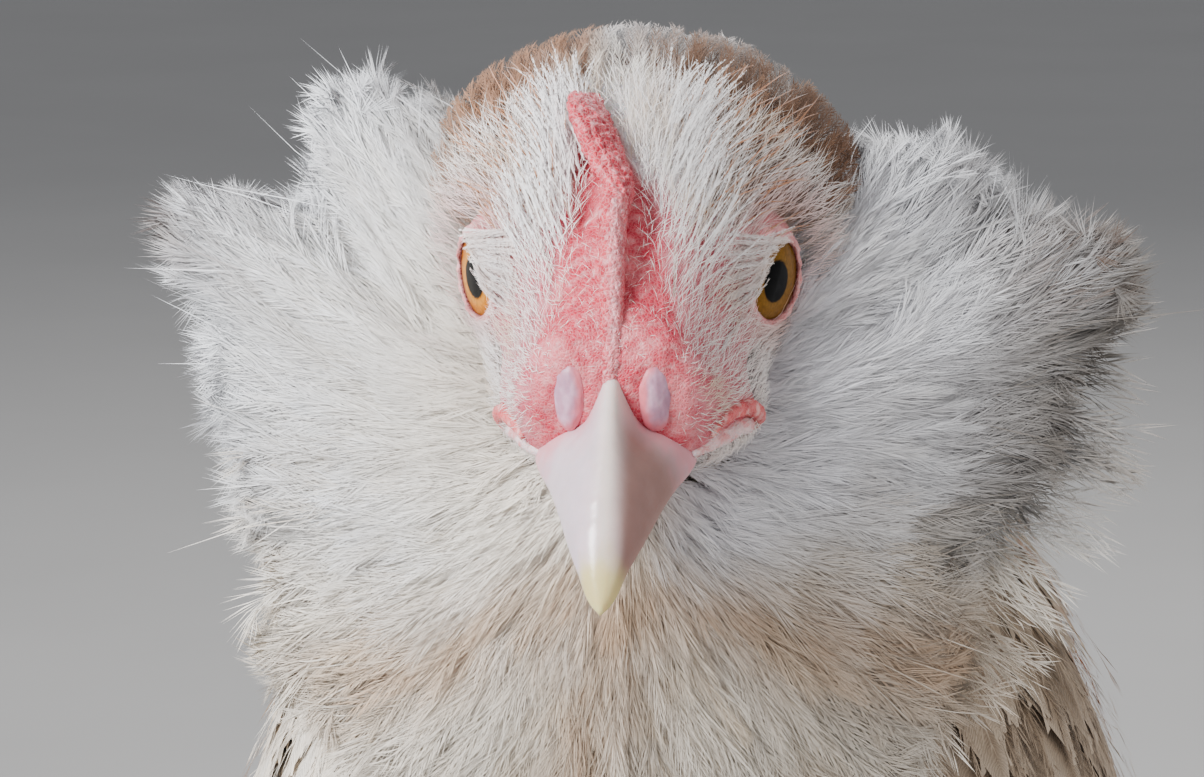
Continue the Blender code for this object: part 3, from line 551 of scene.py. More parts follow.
def horn_finish():
    """Horn of the bill and claws: its own colours, fine growth lines, a low gloss and some depth."""
    material = finish_of("bill_horn", 0.3, Subsurface_Weight=0.35, Subsurface_Scale=0.002)
    shader = material.node_tree.nodes["Principled BSDF"]
    shader.inputs["Subsurface Radius"].default_value = (1, 0.55, 0.45)
    shader.inputs["Coat Weight"].default_value = 0.25
    shader.inputs["Coat Roughness"].default_value = 0.2
    place, _, _ = tinted(material, 420, 0.96, 1.03)
    fine = add(material, "TexNoise", Scale=1500.0, Detail=4.0)
    stretch = add(material, "Mapping")
    stretch.inputs["Scale"].default_value = (1, 0.3, 1)
    link(material, place, "Object", stretch, "Vector")
    link(material, stretch, "Vector", fine, "Vector")
    raised(material, fine, "Fac", 0.12, 0.0003)
    return material


def eye_finish():
    """The eye's ball: its own rings of colour under a clear wet coat."""
    material = finish_of("eye_ball", 0.35, Coat_Weight=0.22, Coat_Roughness=0.02, Specular_IOR_Level=0.1)
    tinted(material, 2600, 0.75, 1.15, 5.0)
    return material


def floor_finish():
    """A plain pale matt floor with a faint, very fine mottle."""
    material = finish_of("floor", 0.85)
    shader = material.node_tree.nodes["Principled BSDF"]
    place = add(material, "TexCoord")
    noise = add(material, "TexNoise", Scale=6.0, Detail=3.0)
    ramp = add(material, "ValToRGB")
    ramp.color_ramp.elements[0].color = (0.42, 0.41, 0.40, 1)
    ramp.color_ramp.elements[1].color = (0.46, 0.45, 0.44, 1)
    link(material, place, "Object", noise, "Vector")
    link(material, noise, "Fac", ramp, "Fac")
    link(material, ramp, "Color", shader, "Base Color")
    return material


# Feathers


def spine(root, bend, tip, out, share):
    """Points on each shaft, a square curve from root to tip drawn towards its bend: place, direction, side,
    which is square to the direction and the way out, and face, which is square to both."""
    s = np.broadcast_to(share, (len(root), np.shape(share)[-1]))[..., None]
    root, bend, tip, out = root[:, None], bend[:, None], tip[:, None], out[:, None]
    place = root * (1 - s) ** 2 + bend * (2 * s * (1 - s)) + tip * s**2
    along = unit((bend - root) * (1 - s) + (tip - bend) * s)
    side = unit(np.cross(along, np.broadcast_to(out, along.shape)))
    return place, along, side, np.cross(side, along)


def kites(base, middle, end, face, thick):
    """Slim barbs, each one four-cornered leaf from base to end, as wide as its thickness at the middle."""
    edge = unit(np.cross(face, end - base)) * thick[..., None]
    points = np.stack([base, middle - edge, end, middle + edge], -2).reshape(-1, 4, 3)
    return points.reshape(-1, 3), np.arange(len(points) * 4).reshape(-1, 4)


class Coat:
    """Gathers feathers of one kind and puts them into pieces of fewer triangles than the limit."""

    def __init__(self, name, finish, slot, nodes, soft=False):
        self.name, self.finish, self.slot, self.nodes, self.soft = name, finish, slot, nodes, soft
        self.batches, self.count, self.made = [], 0, 0

    def take(self, points, quads, triangles, tint, patch, vane=None, normals=None):
        """Adds a batch of feathers, splitting off a piece before it grows too large."""
        weight = 2 * len(quads) + len(triangles)
        if self.count and self.count + weight > PIECE_LIMIT:
            self.put()
        self.batches.append((points, quads, triangles, tint, patch, vane, normals))
        self.count += weight

    def put(self):
        """Joins the batches gathered so far, each one's faces moved up by the points before it."""
        if not self.batches:
            return
        starts = np.cumsum([0] + [len(b[0]) for b in self.batches[:-1]])
        join = lambda k: None if self.batches[0][k] is None else np.vstack([b[k] for b in self.batches])
        quads = np.vstack([b[1] + s for b, s in zip(self.batches, starts)])
        triangles = np.vstack([b[2] + s for b, s in zip(self.batches, starts)])
        self.made += 1
        name = f"{self.name}_{self.made}"
        piece = put_mesh(name, join(0), [quads, triangles], self.finish, join(3), join(4), join(5), join(6))
        wear(piece, self.slot, *self.nodes)
        self.batches, self.count = [], 0


def plumes(coat, root, bend, tip, out, half, shade, tips, patch, count, fan, stray, barb, clump):
    """Loose feathers. From each shaft, barbs leave on both sides at an angle that narrows towards the tip,
    bow forward and draw together by threes, and their colour runs from shade at the root to tips at the
    end."""
    share = np.linspace(0.06, 0.97, count)
    for some in np.array_split(np.arange(len(root)), max(1, math.ceil(len(root) * count * 4 / BATCH_LIMIT))):
        r, b, t, o = root[some], bend[some], tip[some], out[some]
        n = len(some)
        at = share + rng.uniform(-0.4, 0.4, (n, count)) * (share[1] - share[0])
        place, along, side, face = spine(r, b, t, o, at)
        length = np.linalg.norm(t - r, axis=1)[:, None]
        swell = 0.45 + 0.55 * np.sin(math.pi * np.clip(at * 0.9 + 0.05, 0, 1)) ** 0.7
        low, high = shade[some][:, None, None], tips[some][:, None, None]
        spot = patch[some][:, None, None]
        parts, colours, maps, quads, total = [], [], [], [], 0
        for hand in (-1, 1):
            angle = np.radians(fan[0] + (fan[1] - fan[0]) * at) + rng.normal(0, stray, (n, count))
            lift = rng.normal(0, stray * 0.8, (n, count))[..., None]
            way = along * np.cos(angle)[..., None] + side * (hand * np.sin(angle))[..., None] + face * lift
            way = unit(way)
            long = half[some][:, None] * swell * rng.uniform(0.7, 1.15, (n, count))
            middle = place + way * (long * 0.5)[..., None]
            end = place + way * long[..., None] + along * (long * 0.2)[..., None]
            bunch = end.reshape(n, count // 3, 3, 3)
            end = (bunch + (bunch.mean(axis=2, keepdims=True) - bunch) * clump).reshape(n, count, 3)
            points, quad = kites(place, middle, end, face, barb * rng.uniform(0.7, 1.25, (n, count)))
            rows = np.stack([at, at + 0.5 * long / length, at + long / length, at + 0.5 * long / length], -1)
            aside = 0.5 + hand * np.array([0, 0.25, 0.5, 0.25]) + 0 * rows
            parts.append(points)
            colours.append(mix(low, high, ease(0.3, 1.15, rows)).reshape(-1, 3))
            maps.append(feather_map(spot, aside, np.clip(rows, 0, 1)).reshape(-1, 2))
            quads.append(quad + total)
            total += len(points)
        shares = np.array([0.0, 0.4, 0.75, 1.0])
        place, _, side, _ = spine(r, b, t, o, shares)
        edge = side * (np.array([1.6, 1.3, 0.9, 0.2]) * barb)[None, :, None]
        rows = np.broadcast_to(np.repeat(shares, 2), (n, 8))
        parts.append(np.stack([place - edge, place + edge], 2).reshape(-1, 3))
        colours.append(mix(low[:, 0], high[:, 0], ease(0.3, 1.15, rows)).reshape(-1, 3))
        maps.append(feather_map(spot[:, 0], 0.5 + 0 * rows, rows).reshape(-1, 2))
        quads.append((np.arange(n)[:, None, None] * 8 + grid_faces(4, 2)[None]).reshape(-1, 4) + total)
        normals = np.vstack([np.repeat(o, count * 4, axis=0)] * 2 + [np.repeat(o, 8, axis=0)])
        coat.take(np.vstack(parts), np.vstack(quads), NO_TRIANGLES, np.vstack(colours), np.vstack(maps),
                  None, normals if coat.soft else None)


def feather_map(spot, across, up):
    """A feather's own small square of the map round its spot, by the shares across and up the feather."""
    return spot + 0.003 * (np.stack([across, up], -1) - 0.5)


def hairs(coat, root, bend, tip, out, thick, shade, tips, patch):
    """Single bristles: one slim leaf each, bowed once, its colour mixed from shade to tips along it."""
    place, _, _, face = spine(root, bend, tip, out, np.array([0.0, 0.5, 1.0]))
    points, quads = kites(place[:, 0], place[:, 1], place[:, 2], face[:, 1], thick)
    rows = np.broadcast_to(np.array([0, 0.5, 1.0, 0.5]), (len(root), 4))
    colour = mix(shade[:, None], tips[:, None], rows)
    maps = feather_map(patch[:, None], 0.5 + 0 * rows, rows)
    coat.take(points, quads, NO_TRIANGLES, colour.reshape(-1, 3), maps.reshape(-1, 2), None,
              np.repeat(out, 4, axis=0) if coat.soft else None)


# View, light and floor


# The photograph's view: how far it is tilted down, and in millimetres its distance and how far below her
# eyes and to her right it aims
VIEW_TILT = math.radians(10)
VIEW_DISTANCE = 620
VIEW_BELOW = 11.9
VIEW_BESIDE = 2.7
LENS = 166


def set_view():
    """The photograph's view of her face: the camera stands back along a line tilted down, and aims a little
    below and beside the middle between her eyes."""
    back = np.array([0, -math.cos(VIEW_TILT), math.sin(VIEW_TILT)])
    upward = np.array([0, math.sin(VIEW_TILT), math.cos(VIEW_TILT)])
    place = HEAD_ORIGIN - np.array([VIEW_BESIDE, 0, 0]) - upward * VIEW_BELOW + back * VIEW_DISTANCE
    camera = bpy.data.objects.new("camera", bpy.data.cameras.new("camera"))
    camera.location = place * MM
    camera.rotation_euler = (math.pi / 2 - VIEW_TILT, 0, 0)
    camera.data.lens = LENS
    camera.data.sensor_width = 36
    camera.data.clip_start = 0.01
    bpy.context.scene.collection.objects.link(camera)
    bpy.context.scene.camera = camera


def soft_light(name, place, aim, size, power, colour):
    """A round area light at a place in metres, turned to look along the line to its aim."""
    light = bpy.data.lights.new(name, "AREA")
    light.shape = "DISK"
    light.size, light.energy, light.color = size, power, colour
    thing = bpy.data.objects.new(name, light)
    thing.location = place
    thing.rotation_euler = (Vector(aim) - Vector(place)).to_track_quat("-Z", "Y").to_euler()
    bpy.context.scene.collection.objects.link(thing)


def set_light():
    """A broad cool key from her right front, a weak warm fill, a light from behind and a pale room."""
    soft_light("key", (-1.15, -1.05, 1.15), (0, -0.12, 0.34), 0.8, 46, (0.96, 0.98, 1))
    soft_light("fill", (1.3, -1.0, 0.9), (0, -0.1, 0.3), 1.4, 8, (1, 0.96, 0.92))
    soft_light("back", (0.4, 1.4, 1.5), (0, 0, 0.3), 1.2, 18, (1, 1, 1))
    world = bpy.data.worlds.new("room")
    world.use_nodes = True
    world.node_tree.nodes["Background"].inputs["Color"].default_value = (0.78, 0.8, 0.84, 1)
    world.node_tree.nodes["Background"].inputs["Strength"].default_value = 0.42
    bpy.context.scene.world = world
    bpy.context.scene.view_settings.view_transform = "AgX"
    bpy.context.scene.view_settings.look = "AgX - Medium High Contrast"


def set_floor():
    """The floor: one square of four corners at the level of her feet."""
    corners = 9000 * np.array([[-1.0, -1, 0], [1, -1, 0], [1, 1, 0], [-1, 1, 0]])
    floor = put_mesh("floor", corners, [np.array([[0, 1, 2, 3]])], floor_finish())


# Head: marking, skin, eyes, bill and comb


def head_marking(p):
    """Colour of the plumage and the skin under it at points of the head's frame: white in front and on top,
    with a brown patch on each side of the crown, the left one larger, further out and darker, its extra
    darkness painted shade, smoke white at the back and a blush before the eyes."""
    x, f, u = p[..., 0], p[..., 1], p[..., 2]
    spot = 2.0 * waves(p, 9, 5) + 1.2 * waves(p, 4, 7)
    high = 0.883 * u - 0.469 * f
    band = ease(-1, 5, u) * ease(7, 0, f)
    left = ease(-3, 2.5, x - 16.6 + 0.56 * high + spot) * band * ease(-37, -29, f - 0.4 * u)
    right = ease(-2.5, 2.5, -x - 19.6 + 0.52 * high + spot) * band * ease(-37, -29, f)
    base = mix(WHITE, CREAM, ease(-0.3, 0.6, waves(p, 14, 9)))
    base = mix(base, CROWN_CREAM, 0.4 * ease(1, -6, f) * ease(0.0, 0.6, waves(p, 5, 10)))
    base = mix(base, SMOKE, 0.6 * ease(-16, -26, f))
    base = mix(base, FAWN, 0.45 * ease(-12, -30, f) * ease(14, 5, u))
    base = mix(base, SALMON, 0.8 * ease(-31, -37, f))
    base = mix(base, EYE_BLUSH, 0.6 * ease(11, 7.5, eye_distance(p)) * ease(-2, 3, f))
    base = mix(base, CROWN_BROWN, 0.95 * right)
    # brown patch on her left, darker than the right one as painted shade
    return mix(base, CROWN_BROWN_PAINTED_SHADE, 0.97 * left)


def face_bareness(p):
    """How bare and red the face is: 1 beside the comb and round the nostrils, falling to 0 over a width
    that narrows from the bill up to the crown."""
    x, f = p[..., 0], p[..., 1]
    width, aside = np.moveaxis(read(BARE, f), -1, 0)
    return ease(1.25, 0.45, np.abs(x + aside) / width) * ease(-12, -4, f)


def head_surface(forward, angle, out=0.0):
    """Points over the head, out from its plumage's surface, and the outward directions there, in its frame:
    ovals whose height and width follow the table, wider at the mouth's corners and narrower before the
    eyes."""

    def at(f, a):
        up, rise, drop, half = np.moveaxis(read(HEAD, f), -1, 0)
        s, c = np.sin(a), np.cos(a)
        u = up + np.where(s > 0, rise, drop) * s
        cheek = (3.3 + 0.9 * np.tanh(3 * c)) * hill(f, 9, 6) * hill(u, -13.5, 5)
        wide = cheek - 1.7 * hill(f, 10, 5.5) * hill(u, 0.5, 6)
        return np.stack([half * c + wide * np.tanh(3 * c), f, u], -1)

    forward, angle = np.broadcast_arrays(np.asarray(forward, float), np.asarray(angle, float))
    here = at(forward, angle)
    normal = unit(np.cross(at(forward, angle + 0.02) - at(forward, angle - 0.02),
                           at(forward - 0.2, angle) - at(forward + 0.2, angle)))
    return here + normal * np.asarray(out, float)[..., None], normal


def on_head(side, forward, up, out):
    """Points on the head's surface by how far forward and up they are, and the outward directions there,
    from the angle whose sine is the height's share of the oval's."""
    forward, up = np.broadcast_arrays(np.asarray(forward, float), np.asarray(up, float))
    middle, rise, drop, _ = np.moveaxis(read(HEAD, forward), -1, 0)
    angle = np.arcsin(np.clip((up - middle) / np.where(up > middle, rise, drop), -0.98, 0.98))
    return head_surface(forward, np.where(np.asarray(side) > 0, angle, math.pi - angle), out)


def eye_distance(p):
    """How far points of the head's frame are from the nearer eye's middle."""
    return np.minimum(*(np.linalg.norm(p - eye_frame(side)[0], axis=-1) for side in SIDES.values()))


def head_patch(forward, angle):
    """Places on the coats' map for the head: the angle's share across, the distance back from the bill
    up."""
    return np.stack([0.02 + 0.96 * (angle / (2 * math.pi) % 1), 0.02 + 0.96 * (22 - forward) / 62], -1)


def skin_colour(p, x, f, u, bare, near):
    """Colour of the head's skin at points p, raised from the places x, f and u: red flesh where it is bare,
    rose round that, the plumage's marking where feathers cover it, pink by the eyes, and at each corner of
    the mouth a red rim over a dark gape whose darkness is painted shade."""
    flesh = mix(FLESH, FLESH_RED, ease(-0.6, 0.8, waves(p, 5, 3) + 0.9 * hill(np.abs(x), 4.5, 2.5)))
    flesh = mix(flesh, PALE_PINK, 0.25 * ease(0.1, 0.8, waves(p, 1.6, 4)))
    cover = ease(6, -1, f) * ease(0.5, 0.1, bare)
    around = mix(FACE_ROSE, FACE_RED, ease(-0.5, 0.6, waves(p, 4, 6)))
    colour = mix(around, flesh, ease(0.05, 0.6, bare))
    colour = mix(colour, head_marking(p), cover)
    colour = mix(colour, EYE_SKIN, 0.9 * near * ease(-9, -4, f))
    for side in SIDES.values():
        gape = hill(x, side * 13.0, 3.2) * hill(f, 11.0, 2.8) * hill(u, -15.4, 1.7)
        rim = hill(x, side * 13.2, 3.4) * hill(f, 11.0, 4.0) * hill(u, -13.0, 3.0)
        colour = mix(colour, GAPE_RIM, np.clip(rim * 0.9, 0, 1))
        # painted shade: the dark gape in the dented corner of the mouth
        colour = mix(colour, GAPE_PAINTED_SHADE, np.clip(gape * 1.3, 0, 1))
    return colour


def head_skin(finish):
    """The head under its plumage: the sections less the coat's depth, with folds raised along the surface's
    normal by hills in the head's frame and soft noise that fades where feathers cover it."""
    forward = np.concatenate([np.linspace(21.45, -12, 190), np.linspace(-12.6, -39.9, 30)])
    f, a = np.meshgrid(forward, round_turn(280), indexing="ij")
    depth = read(HEAD_COAT, f)[..., 0] + 0.9 * ease(9, 14, np.abs(17 * np.cos(a))) * ease(10, 4, f)
    near = hill(eye_distance(head_surface(f, a)[0]), 6.0, 2.8)
    p, normal = head_surface(f, a, -depth * (1 - 0.85 * near))
    x, u = p[..., 0], p[..., 2]
    bare = face_bareness(p)
    rise = (0.10 * waves(p, 3.2, 1) + 0.05 * waves(p, 1.3, 2)) * (0.25 + 0.75 * bare)
    rise -= 1.7 * hill(x, -4.6, 1.5) * hill(f, 5.5, 3.2) * ease(6, 12, u)
    rise -= 0.6 * hill(x, 3.6, 1.3) * hill(f, 8, 4) * ease(4, 10, u)
    for side in SIDES.values():
        rise += 0.5 * hill(x, side * 8.0, 1.0) * hill(f, 17.6, 2.4) * hill(u, -5.0, 3.6)
        rise += 0.45 * hill(x, side * 5.6, 1.6) * hill(u, 1.4, 1.8) * ease(12, 17, f)
        rise += 0.9 * hill(x, side * 14.0, 2.6) * hill(f, 4.0, 4.5) * hill(u, 7.2, 2.0)
        rise -= 2.0 * hill(x, side * 13.0, 3.2) * hill(f, 11.5, 2.8) * hill(u, -15.2, 1.5)
    p = p + normal * rise[..., None]
    piece = surface("head_skin", from_head(p), finish, skin_colour(p, x, f, u, bare, near), flip=True)
    return wear(piece, "face_skin", "head")


def eye_frame(side):
    """Middle of an eye, the way it faces, and two directions across it, in the head's frame."""
    centre = np.array([side * EYE_ACROSS, 0, EYE_UP])
    level = np.array([side * math.sin(EYE_FACING), math.cos(EYE_FACING), 0])
    axis = level * math.cos(EYE_LIFT) + np.array([0, 0, math.sin(EYE_LIFT)])
    across = unit(np.cross(np.array([0, 0, 1.0]), level))
    return centre, axis, across, unit(np.array([0, 0, 1.0]) - axis * axis[2])


def about_eye(side, high, wide, turn):
    """Points about an eye: so high along its axis and so far out from it, at an angle round it."""
    centre, axis, across, up = eye_frame(side)
    ringed = across * np.cos(turn)[..., None] + up * np.sin(turn)[..., None]
    return centre + axis * np.asarray(high)[..., None] + ringed * np.asarray(wide)[..., None]


def folded(p):
    """Points of the head's frame with her right side laid on her left."""
    return np.stack([np.abs(p[..., 0]), p[..., 1], p[..., 2]], -1)


def mouth_distance(p):
    """How far points of the head's frame are from the line of the nearer fleshy fold of the mouth."""
    line = read([(k, *row) for k, row in enumerate(MOUTH)], np.linspace(0, len(MOUTH) - 1, 40))
    return np.linalg.norm(folded(p)[..., None, :] - line, axis=-1).min(axis=-1)


def eye(label, side, finish):
    """The eye's ball: round behind, flatter and slightly domed in front, where a black pupil sits a little
    ahead of the middle of an amber iris with fine spokes and a dark rim; her left eye's iris is turned olive
    as painted shade."""
    polar, turn = np.meshgrid(np.radians(np.linspace(0.5, 179, 80)), round_turn(96), indexing="ij")
    wide = EYE_RADIUS * np.sin(polar)
    high = EYE_RADIUS * np.cos(polar)
    edge = EYE_RADIUS * math.cos(math.radians(72))
    high = np.where(high > edge, edge + 0.22 * (high - edge), high)
    p = about_eye(side, high, wide, turn)
    _, _, across, _ = eye_frame(side)
    ahead = 0.55 * np.sign(across[1])
    a, b = wide * np.cos(turn) - ahead, wide * np.sin(turn)
    far, round_it = np.hypot(a, b), np.arctan2(b, a)
    draw = np.random.default_rng(40 + side)
    spokes = sum(np.sin(round_it * k + draw.uniform(0, 6.28)) / (k**0.4) for k in (9, 17, 31, 43)) * 0.2
    amber = mix(AMBER, AMBER_DARK, ease(3.3, 4.9, far + 0.4 * spokes))
    amber = mix(amber, AMBER_PALE, 0.6 * hill(far, 2.9, 0.35))
    # painted shade: her left eye's iris darkened to olive
    if side > 0:
        amber = mix(amber, OLIVE_PAINTED_SHADE, 0.78)
    amber = amber * (1 + 0.25 * spokes)[..., None]
    colour = mix(PUPIL, amber, ease(2.3, 2.5, far))
    colour = mix(colour, EYE_RIM, np.maximum(ease(4.55, 4.8, wide), ease(1.2, 0.6, high)))
    piece = surface(f"eye_ball_{label}", from_head(p), finish, colour)
    return wear(piece, "eye", f"eye_{label}")


# The lids' outline: step, height along the eye's axis, distance from it
LID = [
    (0, 0.9, 4.9), (1, 1.5, 4.62), (2, 1.85, 4.68), (3, 2.0, 4.95), (4, 1.9, 5.35), (5, 1.4, 5.75),
    (6, 0.5, 5.95), (7, -0.8, 5.9), (8, -2.4, 5.5)
]


def lids(label, side, finish):
    """Lids round the eye: a ring turned about its axis, thin at its lip over the ball, fullest a little
    outside it and sunk in the skin beyond, with fine folds round it and short creases across."""
    step, turn = np.meshgrid(np.linspace(0, 8, 46), round_turn(130), indexing="ij")
    high, wide = np.moveaxis(read(LID, step), -1, 0)
    wide = wide - (0.32 * np.clip(np.sin(turn), 0, 1) + 0.1 * np.clip(-np.sin(turn), 0, 1)) * ease(5, 1, step)
    place = about_eye(side, high, wide, turn)
    folds = 0.11 * np.sin(wide * 7 + 1.8 * waves(place, 5, 11)) + 0.2 * waves(place, 1.8, 12)
    high = high + ease(1.2, 3, step) * folds
    p = about_eye(side, high, wide, turn)
    colour = mix(LID_LIP, LID_PINK, ease(1.6, 3.2, step))
    colour = mix(colour, LID_RED, 0.7 * ease(-0.4, 0.5, waves(p, 2.4, 13)) * ease(1.5, 3, step))
    piece = surface(f"lids_{label}", from_head(p), finish, colour, caps=False)
    return wear(piece, "face_skin")


def bill_points(table, forward, angle, upper):
    """One half of the bill: a half oval over its edge line, to a power, with a share of a narrow ridge on
    it."""
    top, low, half, sharp, ridge = np.moveaxis(read(table, forward), -1, 0)
    s, c = np.sin(angle), np.cos(angle)
    over = s > 0
    bow = np.abs(s) ** np.where(over == upper, sharp, 1)
    bow = bow * (1 - ridge) + ridge * hill(half * c, 0, 1.9)
    main, base = (top - low, low) if upper else (low - top, top)
    height = np.where(over == upper, main * bow, (-0.5 if upper else 0.3) * np.abs(s))
    return np.stack([half * np.sign(c) * np.abs(c) ** 0.92, forward, base + height], -1)


def bill_colour(p):
    """Colour of the bill: lilac with a pale ridge that carries a painted highlight, painted brown shade on
    her left side and painted light on her right side, yellow at the tip and red at the base, where the skin
    begins."""
    x, f = p[..., 0], p[..., 1]
    # pale ridge along the culmen, partly a painted highlight
    colour = mix(BILL_LILAC, BILL_RIDGE_PAINTED_HIGHLIGHT, hill(x, 0.3, 1.7))
    # painted shade: brown on her left side of the bill
    colour = mix(colour, BILL_PAINTED_SHADE, 0.9 * ease(19, 26, f) * ease(0.3, 2.8, x))
    # painted light: paler on her right side of the bill
    colour = mix(colour, BILL_PAINTED_LIGHT, 0.6 * ease(0.5, -3, x))
    colour = mix(colour, BILL_TIP, 0.9 * ease(36.6, 39.6, f + 0.4 * waves(p, 4, 22)))
    base = ease(24.5, 19.5, f + 1.2 * waves(p, 4, 23)) * ease(0.8, 3.2, np.abs(x))
    return mix(colour, BILL_BASE, 0.75 * base)


def bill(finish):
    """Both halves of the bill, with faint growth waves, the nostril slots pressed in and painted dark red as
    shade, and colour from base to tip."""
    for name, table, upper in (("bill_upper", BILL, True), ("bill_lower", LOWER_BILL, False)):
        start, end = table[0][0], table[-1][0]
        forward = start + (end - start) * np.linspace(0, 1, 110) ** 0.9
        f, a = np.meshgrid(forward, round_turn(110), indexing="ij")
        p = bill_points(table, f, a, upper)
        x, u = p[..., 0], p[..., 2]
        growth = 0.05 * waves(np.stack([x * 0.6, f * 2.2, u * 0.6], -1), 5, 21)
        p[..., 2] += growth * ease(40, 34, f)
        colour = bill_colour(p)
        for side in SIDES.values():
            slot_at = hill(x, side * 5.0, 0.75) * hill(f, 23.0, 1.5) * hill(u, -6.0, 0.9)
            p[..., 0] -= side * 0.8 * slot_at
            p[..., 2] -= 0.5 * slot_at
            if upper:
                # painted shade: dark red in the pressed-in nostril slots
                colour = mix(colour, SLOT_PAINTED_SHADE, np.clip(slot_at * 1.6, 0, 1))
        if not upper:
            colour = mix(colour, BILL_LOWER, 0.5)
        piece = surface(f"{name}_horn", from_head(p), finish, colour)
        wear(piece, "bill_horn", name)


# Half axes of the scale over a nostril: across, along and outward
NOSTRIL = (2.1, 4.3, 1.35)


def nostrils(finish):
    """The smooth lilac scale over each nostril, an oval ball sunk in the red skin, roughened by noise."""
    for label, side in SIDES.items():
        along = unit(np.array([0, 0.2, -0.98]))
        across = unit(np.cross(np.array([side * 0.5, 0.8, 0.35]), along))
        outward = np.cross(along, across)
        centre = np.array([side * 5.1, 20.5, -3.4]) - 0.65 * outward
        polar, turn = np.meshgrid(np.linspace(0.03, math.pi - 0.03, 48), round_turn(64), indexing="ij")
        ball = np.stack([np.sin(polar) * np.cos(turn), np.sin(polar) * np.sin(turn), np.cos(polar)], -1)
        swell = 1 + 0.03 * waves(ball * 2.2, 2, 30 + side)
        p = centre + (ball * np.array(NOSTRIL) * swell[..., None]) @ np.array([across, along, outward])
        shade = mix(LILAC, LILAC_PALE, ease(-0.5, 0.7, waves(p, 3, 31)))
        colour = mix(shade, NOSTRIL_RIM, ease(0.12, 0.6, 1 - ball[..., 2] + 0.1 * waves(p, 2, 32)))
        piece = surface(f"nostril_scale_{label}", from_head(p), finish, colour, flip=True)
        wear(piece, "face_skin")


def tube(path, radii, rough, seed):
    """Points of a round fold along a smooth path: circles square to it, their radius read along it, with
    noise."""
    path = np.asarray(path, float)
    keys = np.arange(len(path))
    t = np.linspace(0, len(path) - 1, 70)
    centre = read(np.column_stack([keys, path]), t)
    radius = read(np.column_stack([keys, np.asarray(radii, float)]), t)[..., 0]
    along = unit(np.gradient(centre, axis=0))
    side = unit(np.cross(along, np.array([0.3, 0.2, 1.0])))
    lift = np.cross(side, along)
    turn = round_turn(28)[None, :, None]
    ring = side[:, None] * np.cos(turn) + lift[:, None] * np.sin(turn)
    p = centre[:, None] + radius[:, None, None] * ring
    return centre[:, None] + (p - centre[:, None]) * (1 + rough * waves(p, 2.2, 50 + seed))[..., None]


# Folds of the mouth's corners, from the bill's shoulder back: forward and up of each point, and their radii
RED_FOLDS = {
    "left": [(18, -9.6), (16, -8.8), (13.5, -8.8), (11, -9.9), (9, -12.2), (8.2, -14.8), (9.6, -16.4)],
    "right": [(18, -10.2), (15.5, -9.8), (13, -9.8), (11.2, -11.2), (9.9, -13.2), (9.8, -15), (11.2, -15.8)],
}
RED_RADII = (0.35, 0.65, 0.85, 1.0, 1.05, 0.9, 0.5)
PALE_FOLDS = {
    "left": [(19, -11.4), (16.5, -11.4), (14, -11.3), (11.8, -11.8), (10.4, -13.0), (10.2, -14.4)],
    "right": [(19, -11.8), (17, -11.6), (15, -11.6), (13, -12.3), (11.8, -13.4), (11.6, -14.2)],
}
PALE_RADII = (0.5, 0.9, 1.05, 0.95, 0.75, 0.4)


def mouth_folds(finish):
    """The fleshy rim round each corner of the mouth, from the bill's shoulder out, down and back in: a red
    fold over a pale one, each a tube along the head's skin."""
    for label, side in SIDES.items():
        for shade, paths, radii, out in (
            ("red", RED_FOLDS, RED_RADII, 0.2),
            ("pale", PALE_FOLDS, PALE_RADII, 0.0),
        ):
            forward, up = np.array(paths[label]).T
            path, _ = on_head(side, forward, up, out - read(HEAD_COAT, forward)[:, 0])
            p = tube(path, radii, 0.13, side)
            if shade == "red":
                colour = mix(FOLD_RED, FOLD_PINK, ease(-0.1, 0.8, waves(p, 1.8, 41)))
                colour = mix(colour, FOLD_DARK, 0.7 * ease(0.1, 0.9, waves(p, 2.6, 42)))
            else:
                colour = mix(FOLD_PALE, FOLD_ROSE, ease(-0.2, 0.8, waves(p, 2.5, 43)))
            piece = surface(f"mouth_fold_{shade}_{label}", from_head(p), finish, colour)
            wear(piece, "face_skin")


# Comb: step, forward and up of the base line, height, half thickness, how far its base lies to her right,
# and how much further its top does
COMB = [
    (0.00, 21.4, -2.6, 0.6, 0.6, 0.1, 0),
    (0.08, 19.6, 0.4, 1.4, 1.2, 0.1, 0),
    (0.20, 16.6, 4.8, 2.0, 1.35, 0.15, 0),
    (0.35, 12.6, 9.3, 2.8, 1.4, 0.3, 0),
    (0.46, 9.4, 12.0, 3.4, 1.55, 0.4, 0),
    (0.53, 7.6, 13.2, 2.6, 1.6, 0.1, 0.1),
    (0.62, 5.0, 14.6, 3.2, 1.9, 0.3, 1.3),
    (0.72, 1.5, 16.0, 4.4, 2.05, 1.5, 2.3),
    (0.83, -2.8, 17.2, 5.2, 1.9, 2.8, 2.5),
    (0.90, -6.0, 17.9, 3.6, 1.5, 3.4, 2.3),
    (0.96, -8.6, 18.2, 1.2, 0.9, 3.7, 1.8),
    (1.00, -10.2, 18.4, 0.3, 0.5, 3.7, 1.4),
]


